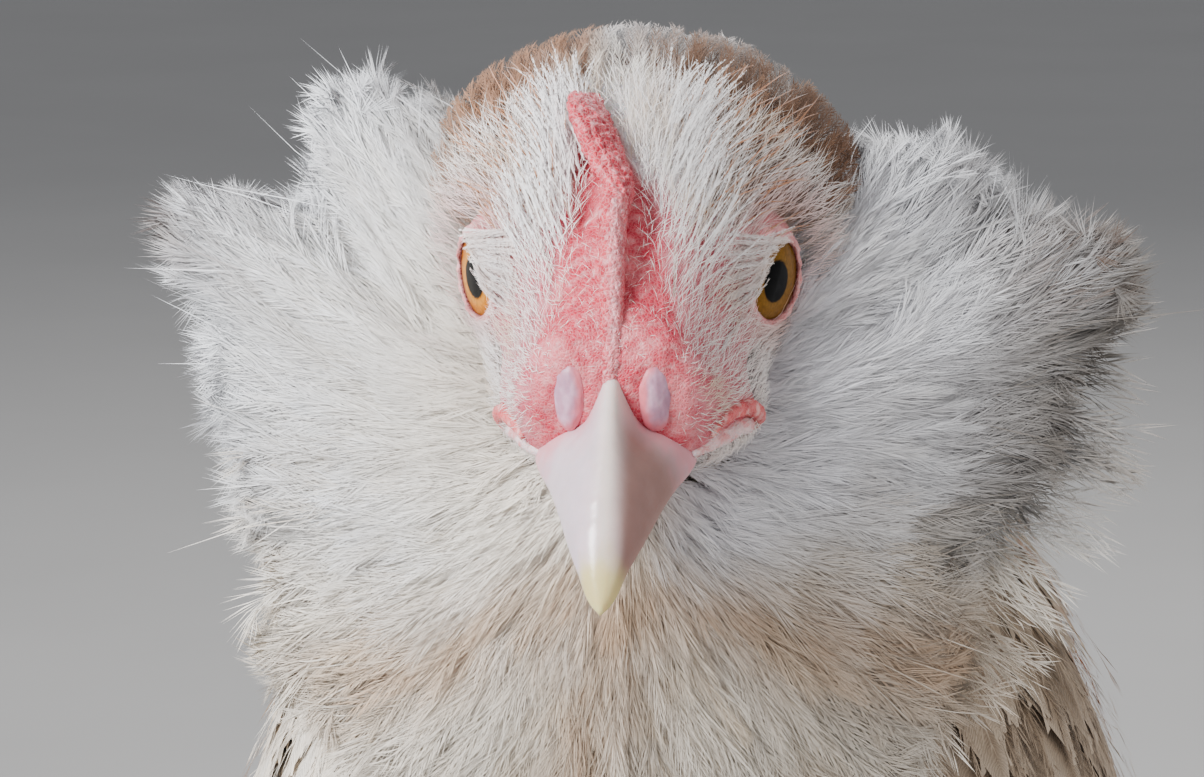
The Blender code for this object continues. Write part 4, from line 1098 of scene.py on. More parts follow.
def comb(finish):
    """The comb: a round-edged slab over its base line, low and thin in front, thick and leaning over
    behind, its height notched between points and its sides pebbled by noise."""
    step, turn = np.meshgrid(np.linspace(0, 1, 200), round_turn(96), indexing="ij")
    forward, up, height, half, shift, lean = np.moveaxis(read(COMB, step), -1, 0)
    notch = 0.5 + 0.5 * np.cos(2 * math.pi * 4.6 * step + 0.4)
    height = height * (1 - 0.16 * notch)
    c, s = np.cos(turn), np.sin(turn)
    rise = 0.5 + 0.5 * np.sign(s) * np.abs(s) ** 0.85
    level = rise * (height + 2.0) - 2.0
    across = half * np.sign(c) * np.abs(c) ** 0.92 - shift
    across = across - lean * np.clip(level / np.maximum(height, 0.1), 0, 1.2) ** 1.3
    p = np.stack([across, forward + 0.33 * level, up + 0.94 * level], -1)
    rows = np.gradient(p, axis=0)
    columns = np.roll(p, -1, axis=1) - np.roll(p, 1, axis=1)
    normal = unit(np.cross(columns, rows))
    middle = np.stack([-shift - lean * 0.5, forward, up + height * 0.4], -1)
    normal *= np.sign(np.sum(normal * (p - middle), axis=-1, keepdims=True))
    pebbles = 0.16 * waves(p, 1.5, 61, 2) + 0.10 * waves(p, 0.8, 62, 2) + 0.14 * waves(p, 3.5, 63, 2)
    fade = ease(0, 0.03, step) * ease(1, 0.97, step) * (0.5 + 0.5 * ease(0.4, 0.55, step))
    p = p + normal * (pebbles * fade)[..., None]
    colour = mix(COMB_RED, COMB_DARK, ease(-0.5, 0.8, waves(p, 3, 64)))
    white = ease(0.56, 0.44, step) * hill(across, 0.3, 0.8) * ease(-0.5, 1.0, level)
    bloom = 0.5 * white + 0.6 * ease(0.35, 0.9, waves(p, 1.1, 65))
    colour = mix(colour, COMB_BLOOM, np.clip(bloom, 0, 1))
    piece = surface("comb_flesh", from_head(p), finish, colour, flip=True)
    return wear(piece, "comb_skin", "comb")


# Ruff: muffs and beard, laid out round a middle below the eyes by the angle up from level, each side

RUFF_MIDDLE = -15

# Outline: angle, reach on her right, reach on her left, how far forward its tips are
RUFF_RIM = [
    (-90, 51, 51, 13),
    (-65, 55, 54, 9),
    (-49, 57, 53, 0),
    (-40, 57.5, 48, -6),
    (-34, 51, 45, -9),
    (-27, 51, 45, -12),
    (-20, 49.5, 48, -15),
    (-13, 51, 48.5, -18),
    (-6, 50, 48, -20),
    (-1, 50, 53, -22),
    (4, 53.5, 56, -23),
    (9, 55, 53.5, -24),
    (13, 55.5, 47, -24),
    (17, 42, 43, -25),
    (23, 40.5, 41.5, -25),
    (30, 43, 40, -25),
    (36, 44, 32, -25),
    (41, 41, 29, -25),
    (48, 31, 27, -25),
    (62, 26, 24, -25),
]

# How much further her left muff's feathers behind reach: angle, reach
SHOULDER = [(-62, 0), (-45, 7), (-36, 14), (-27, 14), (-17, 10), (-6, 7), (2, 0)]

# Where the plumes start, in front and behind: angle, reach, forward, bulge in front, reach and forward
# behind
RUFF_ROOTS = [
    (-90, 3, 14, 6, 13, -3),
    (-60, 5, 13, 6, 15, -6),
    (-40, 8, 11, 5, 17, -12),
    (-15, 11.5, 6.5, 4, 19, -20),
    (5, 12.5, 3, 4, 20, -24),
    (20, 14, 0, 3, 20, -27),
    (32, 16.5, -5, 3, 19, -28),
    (46, 19, -11, 2, 18, -29),
    (62, 20, -15, 2, 17, -30),
]


def ruff_surface(side, angle, way, out=0.0):
    """Points over the ruff and outward directions, in the head's frame. Over each angle runs a cubic curve
    from the roots in front (way 0), domed forward, to the rim (1), and another from there to the roots
    behind (2)."""

    def at(a, w):
        rim, root = read(RUFF_RIM, a), read(RUFF_ROOTS, a)
        reach = np.where(side > 0, rim[..., 1], rim[..., 0])
        tip = rim[..., 2]
        start, first, bulge, last, end = np.moveaxis(root, -1, 0)
        wide = reach - start
        front = ((start, first), (start + 0.12 * wide, first + bulge),
                 (start + 0.62 * wide, tip + 0.6 * (first + bulge - tip)), (reach, tip))
        wide = reach - last
        back = ((reach, tip), (last + 0.6 * wide, end + 0.25 * (tip - end)),
                (last + 0.15 * wide, end - 1), (last, end))
        radius, forward = 0, 0
        for k, weight in enumerate((1, 3, 3, 1)):
            t = np.clip(w, 0, 1)
            b = np.clip(w - 1, 0, 1)
            near = weight * (1 - t) ** (3 - k) * t**k * (w <= 1)
            far = weight * (1 - b) ** (3 - k) * b**k * (w > 1)
            radius = radius + near * front[k][0] + far * back[k][0]
            forward = forward + near * front[k][1] + far * back[k][1]
        turn = np.radians(a)
        return np.stack([side * radius * np.cos(turn), forward, RUFF_MIDDLE + radius * np.sin(turn)], -1)

    side, angle, way = np.broadcast_arrays(*(np.asarray(v, float) for v in (side, angle, way)))
    here = at(angle, way)
    round_it = at(angle + 1, way) - at(angle - 1, way)
    onward = at(angle, way + 0.02) - at(angle, way - 0.02)
    normal = unit(np.cross(round_it, onward)) * side[..., None]
    return here + normal * np.asarray(out, float)[..., None], normal


def ruff_reach(p):
    """How far points of the head's frame are from the ruff's middle, as seen from the front."""
    return np.hypot(p[..., 0], p[..., 2] - RUFF_MIDDLE)


def ruff_outward(p):
    """Directions from the ruff's middle to points of the head's frame, level with the front."""
    return unit((p - np.array([0, 0, RUFF_MIDDLE])) * np.array([1, 0, 1]))


# Fawn partings of the beard, partly fawn tint and partly painted shade between its locks: across and up of
# the start and of the end, half width
PARTINGS = [((-4, -30), (-34, -52), 4.5), ((4, -29), (38, -52), 5.0), ((0, -32), (-6, -62), 5.0)]


def ruff_marking(p, reach):
    """Colour of muffs and beard: cream by the bill and on the beard, bluish white outwards, whitened by
    painted light beside the bill on her left and greyed by painted shade on that muff's outer part, with fawn
    partings that run down the beard from under the bill, partly fawn tint and partly painted shade, and brown
    tips high on her left muff and on her right one's shoulder."""
    x, u = p[..., 0], p[..., 2]
    colour = mix(CREAM, WHITE, ease(16, 40, reach) * ease(-48, -30, u))
    colour = mix(colour, BEARD_BUFF, 0.6 * ease(0.2, 0.9, waves(p, 13, 71)) * ease(-18, -34, u))
    # fawn partings: partly the beard's fawn tint and partly painted shade between its locks
    for start, end, wide in PARTINGS:
        a, b = np.array(start), np.array(end)
        q = p[..., [0, 2]] - a
        t = np.clip(q @ (b - a) / ((b - a) @ (b - a)), 0, 1)
        off = np.linalg.norm(q - t[..., None] * (b - a), axis=-1)
        part = hill(off, 0, wide) * (0.45 + 0.55 * ease(-0.6, 0.5, waves(p, 7, 72)))
        colour = mix(colour, FAWN, np.clip(0.75 * part, 0, 1))
    # painted light: the muff beside the bill on her left whitened to stand in for light
    colour = mix(colour, MUFF_PAINTED_LIGHT, 0.95 * ease(1, 8, x) * ease(36, 25, reach) * ease(-34, -24, u))
    # painted shade: her left muff's outer part greyed as if in shade
    outer = 0.85 * ease(37, 51, reach) * ease(4, -8, u) * ease(-46, -34, u) * (x > 0)
    colour = mix(colour, MUFF_PAINTED_SHADE, outer)
    dusk = ease(39, 48, reach) * ease(-16, -7, u) * ease(13, 5, u) * (x > 0)
    dusk = np.maximum(dusk, 0.6 * ease(40, 52, reach) * ease(-14, -6, u) * ease(8, 2, u) * (x < 0))
    dusk = dusk * ease(-0.4, 0.5, waves(p, 9, 73))
    return mix(colour, MUFF_TIP, np.clip(0.97 * dusk, 0, 1))


def ruff_patch(side, angle, way):
    """Places on the coats' map for the ruff: the angle away from the middle line by side, the way up."""
    return np.stack([0.5 + side * (angle + 92) / 156 * 0.47, 0.02 + 0.48 * way], -1)


def ruff_base(finish):
    """The down under the muffs and beard: the ruff's own closed curves drawn in from the outline and sunk
    in it, coloured as the ruff but darker, as painted shade."""
    steps = np.concatenate([np.linspace(0.05, 1, 40), np.linspace(1.03, 2, 30)])
    for label, side in SIDES.items():
        angle, way = np.meshgrid(np.linspace(-90, 60, 90), steps, indexing="ij")
        sunk = 5.5 * np.sin(math.pi * np.clip(way / 2, 0.03, 0.97)) ** 0.4
        p, normal = ruff_surface(side, angle, way, -sunk)
        middle = np.array([0, 0, RUFF_MIDDLE])
        shrink = np.where(np.abs(way - 1) < 0.75, 0.80 + 0.2 * ease(0.1, 0.75, np.abs(way - 1)), 1)
        p = middle + (p - middle) * shrink[..., None] ** np.array([1, 0.3, 1])
        p = p + normal * (0.8 * waves(p, 7, 75))[..., None]
        # painted shade: the ruff's colour darkened under the plumes
        colour = ruff_marking(p, ruff_reach(p)) * 0.8
        piece = surface(f"ruff_down_{label}", from_head(p), finish, colour, flip=side < 0)
        wear(piece, "white_down", f"muff_{label}", "beard")


def to_world(p):
    """Directions of the head's frame in the hen's stance: its three axes times them."""
    return p @ HEAD_AXES


def spare_eyes(p, keep):
    """Points in front of an eye pushed sideways out of a circle about its axis."""
    p = p.copy()
    for side in SIDES.values():
        centre, axis, _, _ = eye_frame(side)
        d = p - centre
        ahead = d @ axis
        across = d - ahead[..., None] * axis
        far = np.linalg.norm(across, axis=-1)
        inside = (far < keep) & (ahead > -1) & (ahead < 12)
        pushed = centre + ahead[..., None] * axis + unit(across) * keep
        p = np.where(inside[..., None], pushed, p)
    return p


def spread(count, seed=0):
    """Evenly scattered pairs in 0 to 1, each step of a spiral whose pace never repeats."""
    k = np.arange(count)[:, None] + 0.5 + seed
    return k * np.array([0.7548776662, 0.5698402910]) % 1


def shafts(root, bend, tip, out, bend_clear=0.0, tip_clear=0.0):
    """Shafts of the head's frame in the hen's stance, their bends and tips first pushed clear of the
    eyes."""
    bend, tip = spare_eyes(bend, bend_clear), spare_eyes(tip, tip_clear)
    return from_head(root), from_head(bend), from_head(tip), to_world(out)


# Layers of the ruff's plumes, four in front and one behind: how many, first and last way of the roots,
# length, half width, thickness of a barb, barbs on a side, angles of the barbs at the root and at the tip
RUFF_LAYERS = [
    (330, -0.12, 0.04, 11, 2.6, 0.045, 18, (26, 9)),
    (1500, 0.0, 0.5, 12, 4.2, 0.045, 24, (22, 7)),
    (1350, 0.3, 0.8, 17, 4.8, 0.05, 27, (25, 10)),
    (430, 0.5, 0.84, 19, 5.2, 0.06, 33, (34, 13)),
    (480, 1.2, 1.95, 17, 5.4, 0.09, 18, (34, 14)),
]


def ruff_layer(coat, side, number):
    """One layer of plumes: each starts sunk in the down, runs outwards over the ruff by its length's share
    of the span and ends at the surface or a little past the rim, in locks that smooth noise draws
    together."""
    count, low, high, long, wide, barb, barbs, fan = RUFF_LAYERS[number]
    at = spread(count, 17 * number + side)
    angle = -90 + 151 * at[:, 0]
    way = low + (high - low) * at[:, 1] ** 0.8
    behind = low > 1
    root, out = ruff_surface(side, angle, np.maximum(way, 0))
    root = root - ruff_outward(root) * (np.maximum(-way, 0) * 30)[:, None]
    reach = np.where(side > 0, read(RUFF_RIM, angle)[:, 1], read(RUFF_RIM, angle)[:, 0])
    span = np.maximum(reach - read(RUFF_ROOTS, angle)[:, 0], 8)
    long = long * rng.uniform(0.8, 1.2, count) * np.clip(span / 36, 0.55, 1.1)
    step = long / span * (-1 if behind else 1)
    rise = 1.4 * waves(root, 8, 85 + number) + rng.normal(0, 0.5, count)
    turn = 7 * waves(root, 11, 81 + number) + rng.normal(0, 2.5, count)
    goal = way + step
    goal = np.maximum(goal, 1.0) if behind else np.minimum(goal, 1.0 + 0.03 * rng.normal(size=count))
    over = 0 if behind else np.clip(way + step - 1, 0, 0.3) * span * 0.12
    if behind and side > 0:
        over = read(SHOULDER, angle + turn)[:, 0]
    tip, tip_out = ruff_surface(side, angle + turn, np.clip(goal, 0.02, 1.98), rise)
    tip = tip + ruff_outward(tip) * (over + rng.normal(-0.8, 0.9, count))[:, None]
    halfway = np.clip(way + 0.5 * step, 0.02, 1.98)
    bend, _ = ruff_surface(side, angle + 0.35 * turn, halfway, 1.2 + 0.8 * rise)
    root = root - out * (4.0 - 2.5 * ease(0.15, 0, way) - 1.0 * ease(0, -0.05, way))[:, None]
    shade = ruff_marking(root + (tip - root) * 0.4, ruff_reach(root))
    ends = ruff_marking(tip, ruff_reach(tip))
    shine = rng.uniform(0.9, 1.06, count)[:, None]
    half = wide * rng.uniform(0.75, 1.2, count) * np.clip(span / 34, 0.6, 1.1)
    # painted shade: each plume's root colour darkened
    plumes(coat, *shafts(root, bend, tip, unit(out + tip_out), 6.6, 6.6), half, shade * shine * 0.92,
           np.minimum(ends * shine, 0.95), ruff_patch(side, angle, way), barbs, fan, 0.1, barb, 0.5)


def rim_hairs(coat, side):
    """Thin loose hairs that start by the ruff's rim and stand a few millimetres past it."""
    count = 150
    at = spread(count, 5 + side)
    angle = -88 + 140 * at[:, 0]
    root, out = ruff_surface(side, angle, 0.7 + 0.25 * at[:, 1])
    tip, _ = ruff_surface(side, angle + rng.normal(0, 4, count), np.full(count, 1.0))
    past = rng.gamma(2.0, 1.6, count)[:, None]
    tip = tip + ruff_outward(tip) * past + rng.normal(0, 0.8, (count, 3))
    bend = (root + tip) / 2 + out * rng.normal(0.5, 1, count)[:, None]
    pale = ruff_marking(tip, ruff_reach(tip))
    hairs(coat, *shafts(root, bend, tip, out), np.full(count, 0.075), pale, pale,
          ruff_patch(side, angle, np.full(count, 0.9)))


def ruff(finish):
    """Plumes over the muffs and beard in layers, with loose hairs at the rim, each side in pieces of its
    own."""
    for label, side in SIDES.items():
        coat = Coat(f"ruff_{label}", finish, "white_down", (f"muff_{label}", "beard"), soft=True)
        for number in range(len(RUFF_LAYERS)):
            ruff_layer(coat, side, number)
        rim_hairs(coat, side)
        coat.put()


HEAD_ARC = arc_of(HEAD[::-1], (1, 2, 3))


def head_back(length):
    """How far forward a place is by the length along the head's outline from its back."""
    return np.interp(length, HEAD_ARC[:, 0], HEAD_ARC[:, 1])


def over_head(forward, angle, long, lift, sink, turn):
    """Feathers that lie back over the head: roots under its surface and bends and tips over it, further
    back."""
    length = np.interp(forward, HEAD_ARC[:, 1], HEAD_ARC[:, 0])
    root, out = head_surface(forward, angle, -sink)
    bend, _ = head_surface(head_back(length - 0.5 * long), angle + 0.4 * turn, 1.1 * lift)
    tip, _ = head_surface(head_back(length - long), angle + turn, lift)
    return root, bend, tip, out


def crown(finish):
    """Short soft feathers scattered evenly over the head from the face back, longer behind; the bare face,
    the eyes and the folds of the mouth are left out."""
    coat = Coat("crown", finish, "cream_feather", ("head",), soft=True)
    at = spread(2900)
    start, end = np.interp([-39.8, 15], HEAD_ARC[:, 1], HEAD_ARC[:, 0])
    forward = head_back(start + (end - start) * at[:, 0])
    angle = np.radians(-88 + 356 * at[:, 1])
    here, _ = head_surface(forward, angle)
    sparse = 0.9 * ease(2, 10, forward) * ease(-16, -8, here[:, 2])
    keep = rng.uniform(0, 1, len(at)) > np.maximum(face_bareness(here) * 1.6, sparse)
    keep &= (eye_distance(here) > 7.0) & (mouth_distance(here) > 2.4)
    forward, angle, here = forward[keep], angle[keep], here[keep]
    count = len(forward)
    behind = ease(-4, -14, forward)
    long = read([(16, 4.5), (6, 7), (-5, 9), (-20, 10), (-40, 11)], forward)[:, 0]
    long = long * rng.uniform(0.8, 1.25, count)
    lift = 0.3 + (0.45 - 0.25 * behind) * (waves(here, 6, 91) + rng.normal(0, 0.5, count))
    sink = read(HEAD_COAT, forward)[:, 0] * 0.8
    turn = 0.1 * waves(here, 8, 92) + rng.normal(0, 0.06, count)
    root, bend, tip, out = over_head(forward, angle, long, lift, sink, turn)
    hang = ease(-24, -38, forward)[:, None] * rng.uniform(0.6, 1.3, count)[:, None]
    tip = tip + hang * np.array([0, -6.0, -5.0])
    shine = rng.uniform(0.88, 1.04, count)[:, None]
    shine = shine * (1 - 0.14 * behind * rng.uniform(0, 1, count))[:, None]
    share = 0.2 * ease(1.5, 8, np.abs(here[:, 0])) * ease(-34, -10, forward)
    streak = 0.6 * (rng.uniform(0, 1, count) < share)
    middle = mix(head_marking(bend), STREAK, streak) * shine
    ends = mix(head_marking(tip), STREAK_TIP, 0.7 * streak) * shine
    ends = mix(middle, ends, np.full(count, 0.6)) * 1.02
    half = read([(16, 0.7), (6, 0.9), (-5, 1.4), (-20, 2.4), (-40, 3.2)], forward)[:, 0]
    half = half * rng.uniform(0.8, 1.2, count)
    patch = head_patch(forward, angle)
    for some, fan, clump, barb in (
        (forward > -7, (30, 9), 0.55, 0.05),
        ((forward <= -7) & (forward > -24), (38, 14), 0.3, 0.05),
        (forward <= -24, (38, 14), 0.5, 0.08),
    ):
        # painted shade: each plume's root colour darkened
        plumes(coat, *shafts(root[some], bend[some], tip[some], out[some], 6.3, 6.3), half[some],
               middle[some] * 0.93, ends[some], patch[some], 18, fan, 0.09, barb, clump)
    coat.put()


def bristles(coat):
    """Fine pale bristles over the face, shorter, thinner and fewer the barer it is, none on the nostrils,
    the eyes and the folds of the mouth."""
    at = spread(15000, 3)
    forward = 21 - 30 * at[:, 0] ** 0.9
    angle = np.radians(-75 + 330 * at[:, 1])
    here, _ = head_surface(forward, angle)
    bare = face_bareness(here)
    nostril = np.linalg.norm(folded(here) - np.array([4.7, 20.3, -3.5]), axis=1)
    keep = (rng.uniform(0, 1, len(at)) > bare * 0.8) & (nostril > 3.4) & (eye_distance(here) > 6.0)
    keep &= mouth_distance(here + np.array([0, -1.2, 0])) > rng.uniform(1.2, 2.2, len(at))
    forward, angle, here, bare = forward[keep], angle[keep], here[keep], bare[keep]
    count = len(forward)
    long = read([(21, 1.2), (16, 2.0), (8, 3.4), (0, 5.5), (-10, 6)], forward)[:, 0]
    long = long * rng.uniform(0.6, 1.3, count)
    long = long * (1 - 0.7 * bare)
    lift = (0.3 + 0.25 * long * rng.uniform(0.3, 1, count)) * (1 - 0.7 * bare)
    turn = rng.normal(0, 0.09, count)
    root, bend, tip, out = over_head(forward, angle, long, lift, 0.4 * (1 - 0.5 * bare), turn)
    pale = mix(BRISTLE, BRISTLE_CREAM, ease(0, 1, waves(here, 7, 95)))
    pale = mix(pale, BRISTLE_PINK, 0.6 * ease(11, 7, eye_distance(here)))
    thick = rng.uniform(0.025, 0.05, count) * (1 - 0.35 * bare)
    # painted shade: each bristle's root colour darkened
    hairs(coat, *shafts(root, bend, tip, out, 5.6, 5.2), thick, pale * 0.9, pale, head_patch(forward, angle))


def swept_plumes(coat):
    """White plumes beside the comb that lie back over the forehead."""
    count = 360
    at = spread(count, 9)
    side = np.where(np.arange(count) % 2 == 0, 1.0, -1.0)
    forward = 10 - 17 * at[:, 0]
    aside = read([(17, 0.75), (8, 0.5), (0, 0.3), (-10, 0.22)], forward)[:, 0] * (0.8 + 0.9 * at[:, 1])
    angle = np.pi / 2 - side * aside
    long = rng.uniform(6, 10.5, count)
    lift = rng.uniform(1.0, 2.6, count)
    turn = rng.normal(0, 0.07, count) - side * 0.05
    root, bend, tip, out = over_head(forward, angle, long, lift, np.full(count, 0.3), turn)
    pale = np.broadcast_to(SWEPT_WHITE, root.shape)
    # painted shade: each plume's root colour darkened
    plumes(coat, *shafts(root, bend, tip, out, 6.2, 6.2), rng.uniform(0.45, 0.8, count), pale * 0.93, pale,
           head_patch(forward, angle), 12, (24, 9), 0.08, 0.04, 0.4)


def rust_streaks(coat):
    """Narrow rust brown plumes with paler tips among the crown's white ones, more of them on her right."""
    count = 150
    at = spread(count, 11)
    side = np.where(rng.uniform(0, 1, count) < 0.55, -1.0, 1.0)
    forward = 5 - 17 * at[:, 0]
    aside = read([(8, 0.5), (0, 0.36), (-12, 0.3)], forward)[:, 0] * (1.0 + 1.9 * at[:, 1])
    angle = np.pi / 2 - side * aside
    long = rng.uniform(4.5, 8.5, count)
    lift = rng.uniform(1.0, 2.2, count)
    turn = rng.normal(0, 0.08, count) - side * 0.05
    root, bend, tip, out = over_head(forward, angle, long, lift, np.full(count, 0.3), turn)
    rust = mix(RUST, RUST_DARK, rng.uniform(0, 1, count))
    half = rng.uniform(0.18, 0.4, count)
    pale = mix(rust, WHITE, rng.uniform(0.1, 0.7, count))
    plumes(coat, *shafts(root, bend, tip, out, 6.4, 6.4), half, rust, pale,
           head_patch(forward, angle), 9, (16, 7), 0.08, 0.05, 0.3)


def brow_tufts(coat):
    """A tuft over each eye: plumes that start on the brow and bow out and round the eye's upper edge."""
    for side, count, reach in ((1, 70, (4.3, 6.2)), (-1, 95, (3.4, 5.8))):
        about = np.radians(rng.uniform(-8, 62, count))
        about = about if side > 0 else math.pi - about
        near = about_eye(side, np.full(count, 1.0), rng.uniform(7.0, 9.5, count), about)
        root, out = on_head(side, near[:, 1], near[:, 2], -0.3)
        high, wide = rng.uniform(3.2, 4.4, count), rng.uniform(6.0, 6.8, count)
        bend = about_eye(side, high, wide, about + side * 0.22)
        high, wide = rng.uniform(2.9, 3.8, count), rng.uniform(*reach, count)
        tip = about_eye(side, high, wide, about + side * rng.normal(0.62, 0.16, count))
        pale = mix(BROW, BROW_PINK, rng.uniform(0, 0.6, count))
        # painted shade: each plume's root colour darkened
        plumes(coat, *shafts(root, bend, tip, out), rng.uniform(0.55, 0.95, count), pale * 0.92, pale,
               head_patch(near[:, 1], about), 15, (26, 10), 0.1, 0.035, 0.5)


def chin_bristles(coat):
    """Short pale bristles that hang from the skin under the folds of the mouth."""
    count = 420
    side = np.where(rng.uniform(0, 1, count) < 0.6, 1.0, -1.0)
    forward, up = rng.uniform(9.5, 15.5, count), rng.uniform(-12.6, -10.6, count)
    root, out = on_head(side, forward, up, -0.3)
    bend, _ = on_head(side, forward - 0.6, up - 1.6, rng.uniform(0.9, 1.6, count))
    ahead, down = forward - rng.uniform(0.5, 2.0, count), up - rng.uniform(2.6, 4.6, count)
    tip, _ = on_head(side, ahead, down, rng.uniform(0.6, 1.6, count))
    pale = np.broadcast_to(CHIN, root.shape)
    angle = np.arctan2(root[:, 2], root[:, 0])
    hairs(coat, *shafts(root, bend, tip, out), np.full(count, 0.035), pale, pale, head_patch(forward, angle))


def face_bristles(finish):
    """All that stands on the face: bristles, the plumes beside the comb, rust streaks, brow tufts and the
    bristles under the mouth."""
    coat = Coat("face_bristles", finish, "cream_feather", ("head",), soft=True)
    bristles(coat)
    swept_plumes(coat)
    rust_streaks(coat)
    brow_tufts(coat)
    chin_bristles(coat)
    coat.put()


# Vanes: outlines of feathers, share of the length against share of the width

ROUND = [(0, 0.35), (0.2, 0.8), (0.5, 1), (0.75, 0.95), (0.92, 0.62), (1, 0.2)]
POINTED = [(0, 0.5), (0.3, 1), (0.6, 0.82), (0.85, 0.4), (1, 0.05)]
QUILL = [(0, 0.25), (0.12, 0.7), (0.4, 0.95), (0.75, 1), (0.93, 0.75), (1, 0.25)]


def fringe_of(root, bend, tip, out, half, outline, length, cup, fringe):
    """Loose barb tips of closed feathers: along each edge, slim triangles that point outwards and on, with
    their corners' places on the vane."""
    n = len(root)
    at = np.tile(np.linspace(0.3, 0.97, fringe), 2) + rng.uniform(-0.03, 0.03, (n, 2 * fringe))
    hand = np.repeat([-1.0, 1.0], fringe)
    place, along, side, face = spine(root, bend, tip, out, np.clip(at, 0, 1))
    reach = half[:, None] * read(outline, np.clip(at, 0, 1))[..., 0]
    step = (0.55 * 0.67 / fringe * length)[:, None, None]
    level = place + side * (hand * reach * 0.96)[..., None] - face * (cup * reach * 0.9)[..., None]
    long = (0.16 * half[:, None] + 0.1 * reach) * rng.uniform(0.5, 1.6, at.shape)
    end = level + side * (hand * long * 0.55)[..., None] + along * (long * 1.2)[..., None]
    end = end - face * (0.2 * long)[..., None]
    corners = np.stack([level - along * step, end, level + along * step * 0.5], 2)
    index = np.arange(n * 2 * fringe)[:, None] * 3 + np.array([[0, 1, 2]])
    index = np.where(np.tile(hand, n)[:, None] > 0, index, index[:, ::-1])
    aside = np.repeat((hand * reach)[..., None], 3, -1)
    onward = np.repeat((at * length[:, None])[..., None], 3, -1)
    return corners.reshape(-1, 3), index, np.stack([aside, onward, 0 * aside], -1).reshape(-1, 3)


def leaves(coat, root, bend, tip, out, half, outline, shade, edge, ends, patch, rows, columns, cup, fringe,
           shaft):
    """Closed feathers: a sheet along each shaft as wide as its outline, bent down towards its edges by the
    square of the share across, with loose barb tips as slim triangles along the edges and, on quills, a
    raised shaft."""
    n = len(root)
    t = np.linspace(0, 1, rows)
    c = np.linspace(-1, 1, columns)
    place, _, side, face = spine(root, bend, tip, out, t)
    length = np.linalg.norm(tip - root, axis=1)
    width = half[:, None] * read(outline, t)[:, 0]
    across = width[..., None] * c
    points = place[:, :, None] + side[:, :, None] * across[..., None]
    points = points - face[:, :, None] * (cup * across * c)[..., None]
    far = np.broadcast_to(t[None, :, None] * length[:, None, None], across.shape)
    vane = np.stack([across, far, np.zeros(across.shape)], -1)
    flow = ease(0.15, 0.95, t)[None, :, None, None]
    centre = shade[:, None, None] * (1 - flow) + ends[:, None, None] * flow
    rim = (np.abs(c)[None, None, :, None]) ** 3
    rim = np.maximum(rim, ease(0.86, 1.0, t)[None, :, None, None])
    colour = centre * (1 - rim) + edge[:, None, None] * rim
    share = 0.5 + 0.45 * np.broadcast_to(c, across.shape)
    maps = feather_map(patch[:, None, None], share, np.broadcast_to(t[:, None], across.shape))
    quads = (np.arange(n)[:, None, None] * rows * columns + grid_faces(rows, columns)[None]).reshape(-1, 4)
    size = n * rows * columns
    parts = [points.reshape(-1, 3)]
    shades, charts, vanes = [colour.reshape(-1, 3)], [maps.reshape(-1, 2)], [vane.reshape(-1, 3)]
    tips, triangles, tip_vanes = fringe_of(root, bend, tip, out, half, outline, length, cup, fringe)
    triangles = triangles + size
    parts.append(tips)
    shades.append(np.repeat(edge, 6 * fringe, axis=0))
    charts.append(np.repeat(patch, 6 * fringe, axis=0))
    vanes.append(tip_vanes)
    size += len(tips)
    if shaft:
        thin = (shaft * (1 - 0.85 * t))[None, :, None]
        rail = np.stack([place - side * thin, place + face * thin * 0.9, place + side * thin], 2)
        grid = (size + np.arange(n)[:, None, None] * rows * 3 + grid_faces(rows, 3)[None]).reshape(-1, 4)
        quads = np.vstack([quads, grid])
        parts.append(rail.reshape(-1, 3))
        shades.append(np.repeat(mix(edge, ends, np.full(n, 0.35)), rows * 3, axis=0))
        charts.append(np.repeat(patch, rows * 3, axis=0))
        vanes.append(np.zeros((n * rows * 3, 3)))
    coat.take(np.vstack(parts), quads, triangles, np.vstack(shades), np.vstack(charts), np.vstack(vanes))


# Body: surfaces in the hen's own stance, in millimetres


def slope_of(at, a, b, out, turned=False):
    """A surface's points moved out along its normal, which is the cross product of its two directions, in
    the other order where turned."""
    a, b = np.broadcast_arrays(np.asarray(a, float), np.asarray(b, float))
    along, round_it = at(a + 0.01, b) - at(a - 0.01, b), at(a, b + 0.01) - at(a, b - 0.01)
    normal = unit(np.cross(round_it, along) if turned else np.cross(along, round_it))
    return at(a, b) + normal * np.asarray(out, float)[..., None], normal


def trunk(y, angle, out):
    """The trunk: ovals across y, their height and width read from the table; angle 0 is her left, 90 up."""

    def at(y, a):
        middle, rise, drop, half = np.moveaxis(read(TORSO, y), -1, 0)
        s = np.sin(a)
        return np.stack([half * np.cos(a), y, middle + np.where(s > 0, rise, drop) * s], -1)

    return slope_of(at, y, angle, out)


def breast(x, z, out):
    """The trunk's front by x and height: the foremost y at which its oval holds that place."""
    y = np.linspace(TORSO[0][0], -60, 120)
    middle, rise, drop, half = read(TORSO, y).T

    def at(x, z):
        up = z[..., None] - middle
        share = np.hypot(x[..., None] / half, up / np.where(up > 0, rise, drop))
        first = np.clip(np.argmax(share < 1, axis=-1), 1, None)
        after = np.take_along_axis(share, first[..., None], -1)[..., 0]
        before = np.take_along_axis(share, first[..., None] - 1, -1)[..., 0]
        return np.stack([x, y[first] - (y[1] - y[0]) * np.clip((1 - after) / (before - after), 0, 1), z], -1)

    return slope_of(at, x, z, out)


TRUNK_ARC = arc_of(TORSO, (1, 2, 3))


def trunk_by_length(length, angle, out):
    """The trunk by the length along its side from the breast's foremost point instead of y."""
    return trunk(np.interp(length, TRUNK_ARC[:, 0], TRUNK_ARC[:, 1]), angle, out)


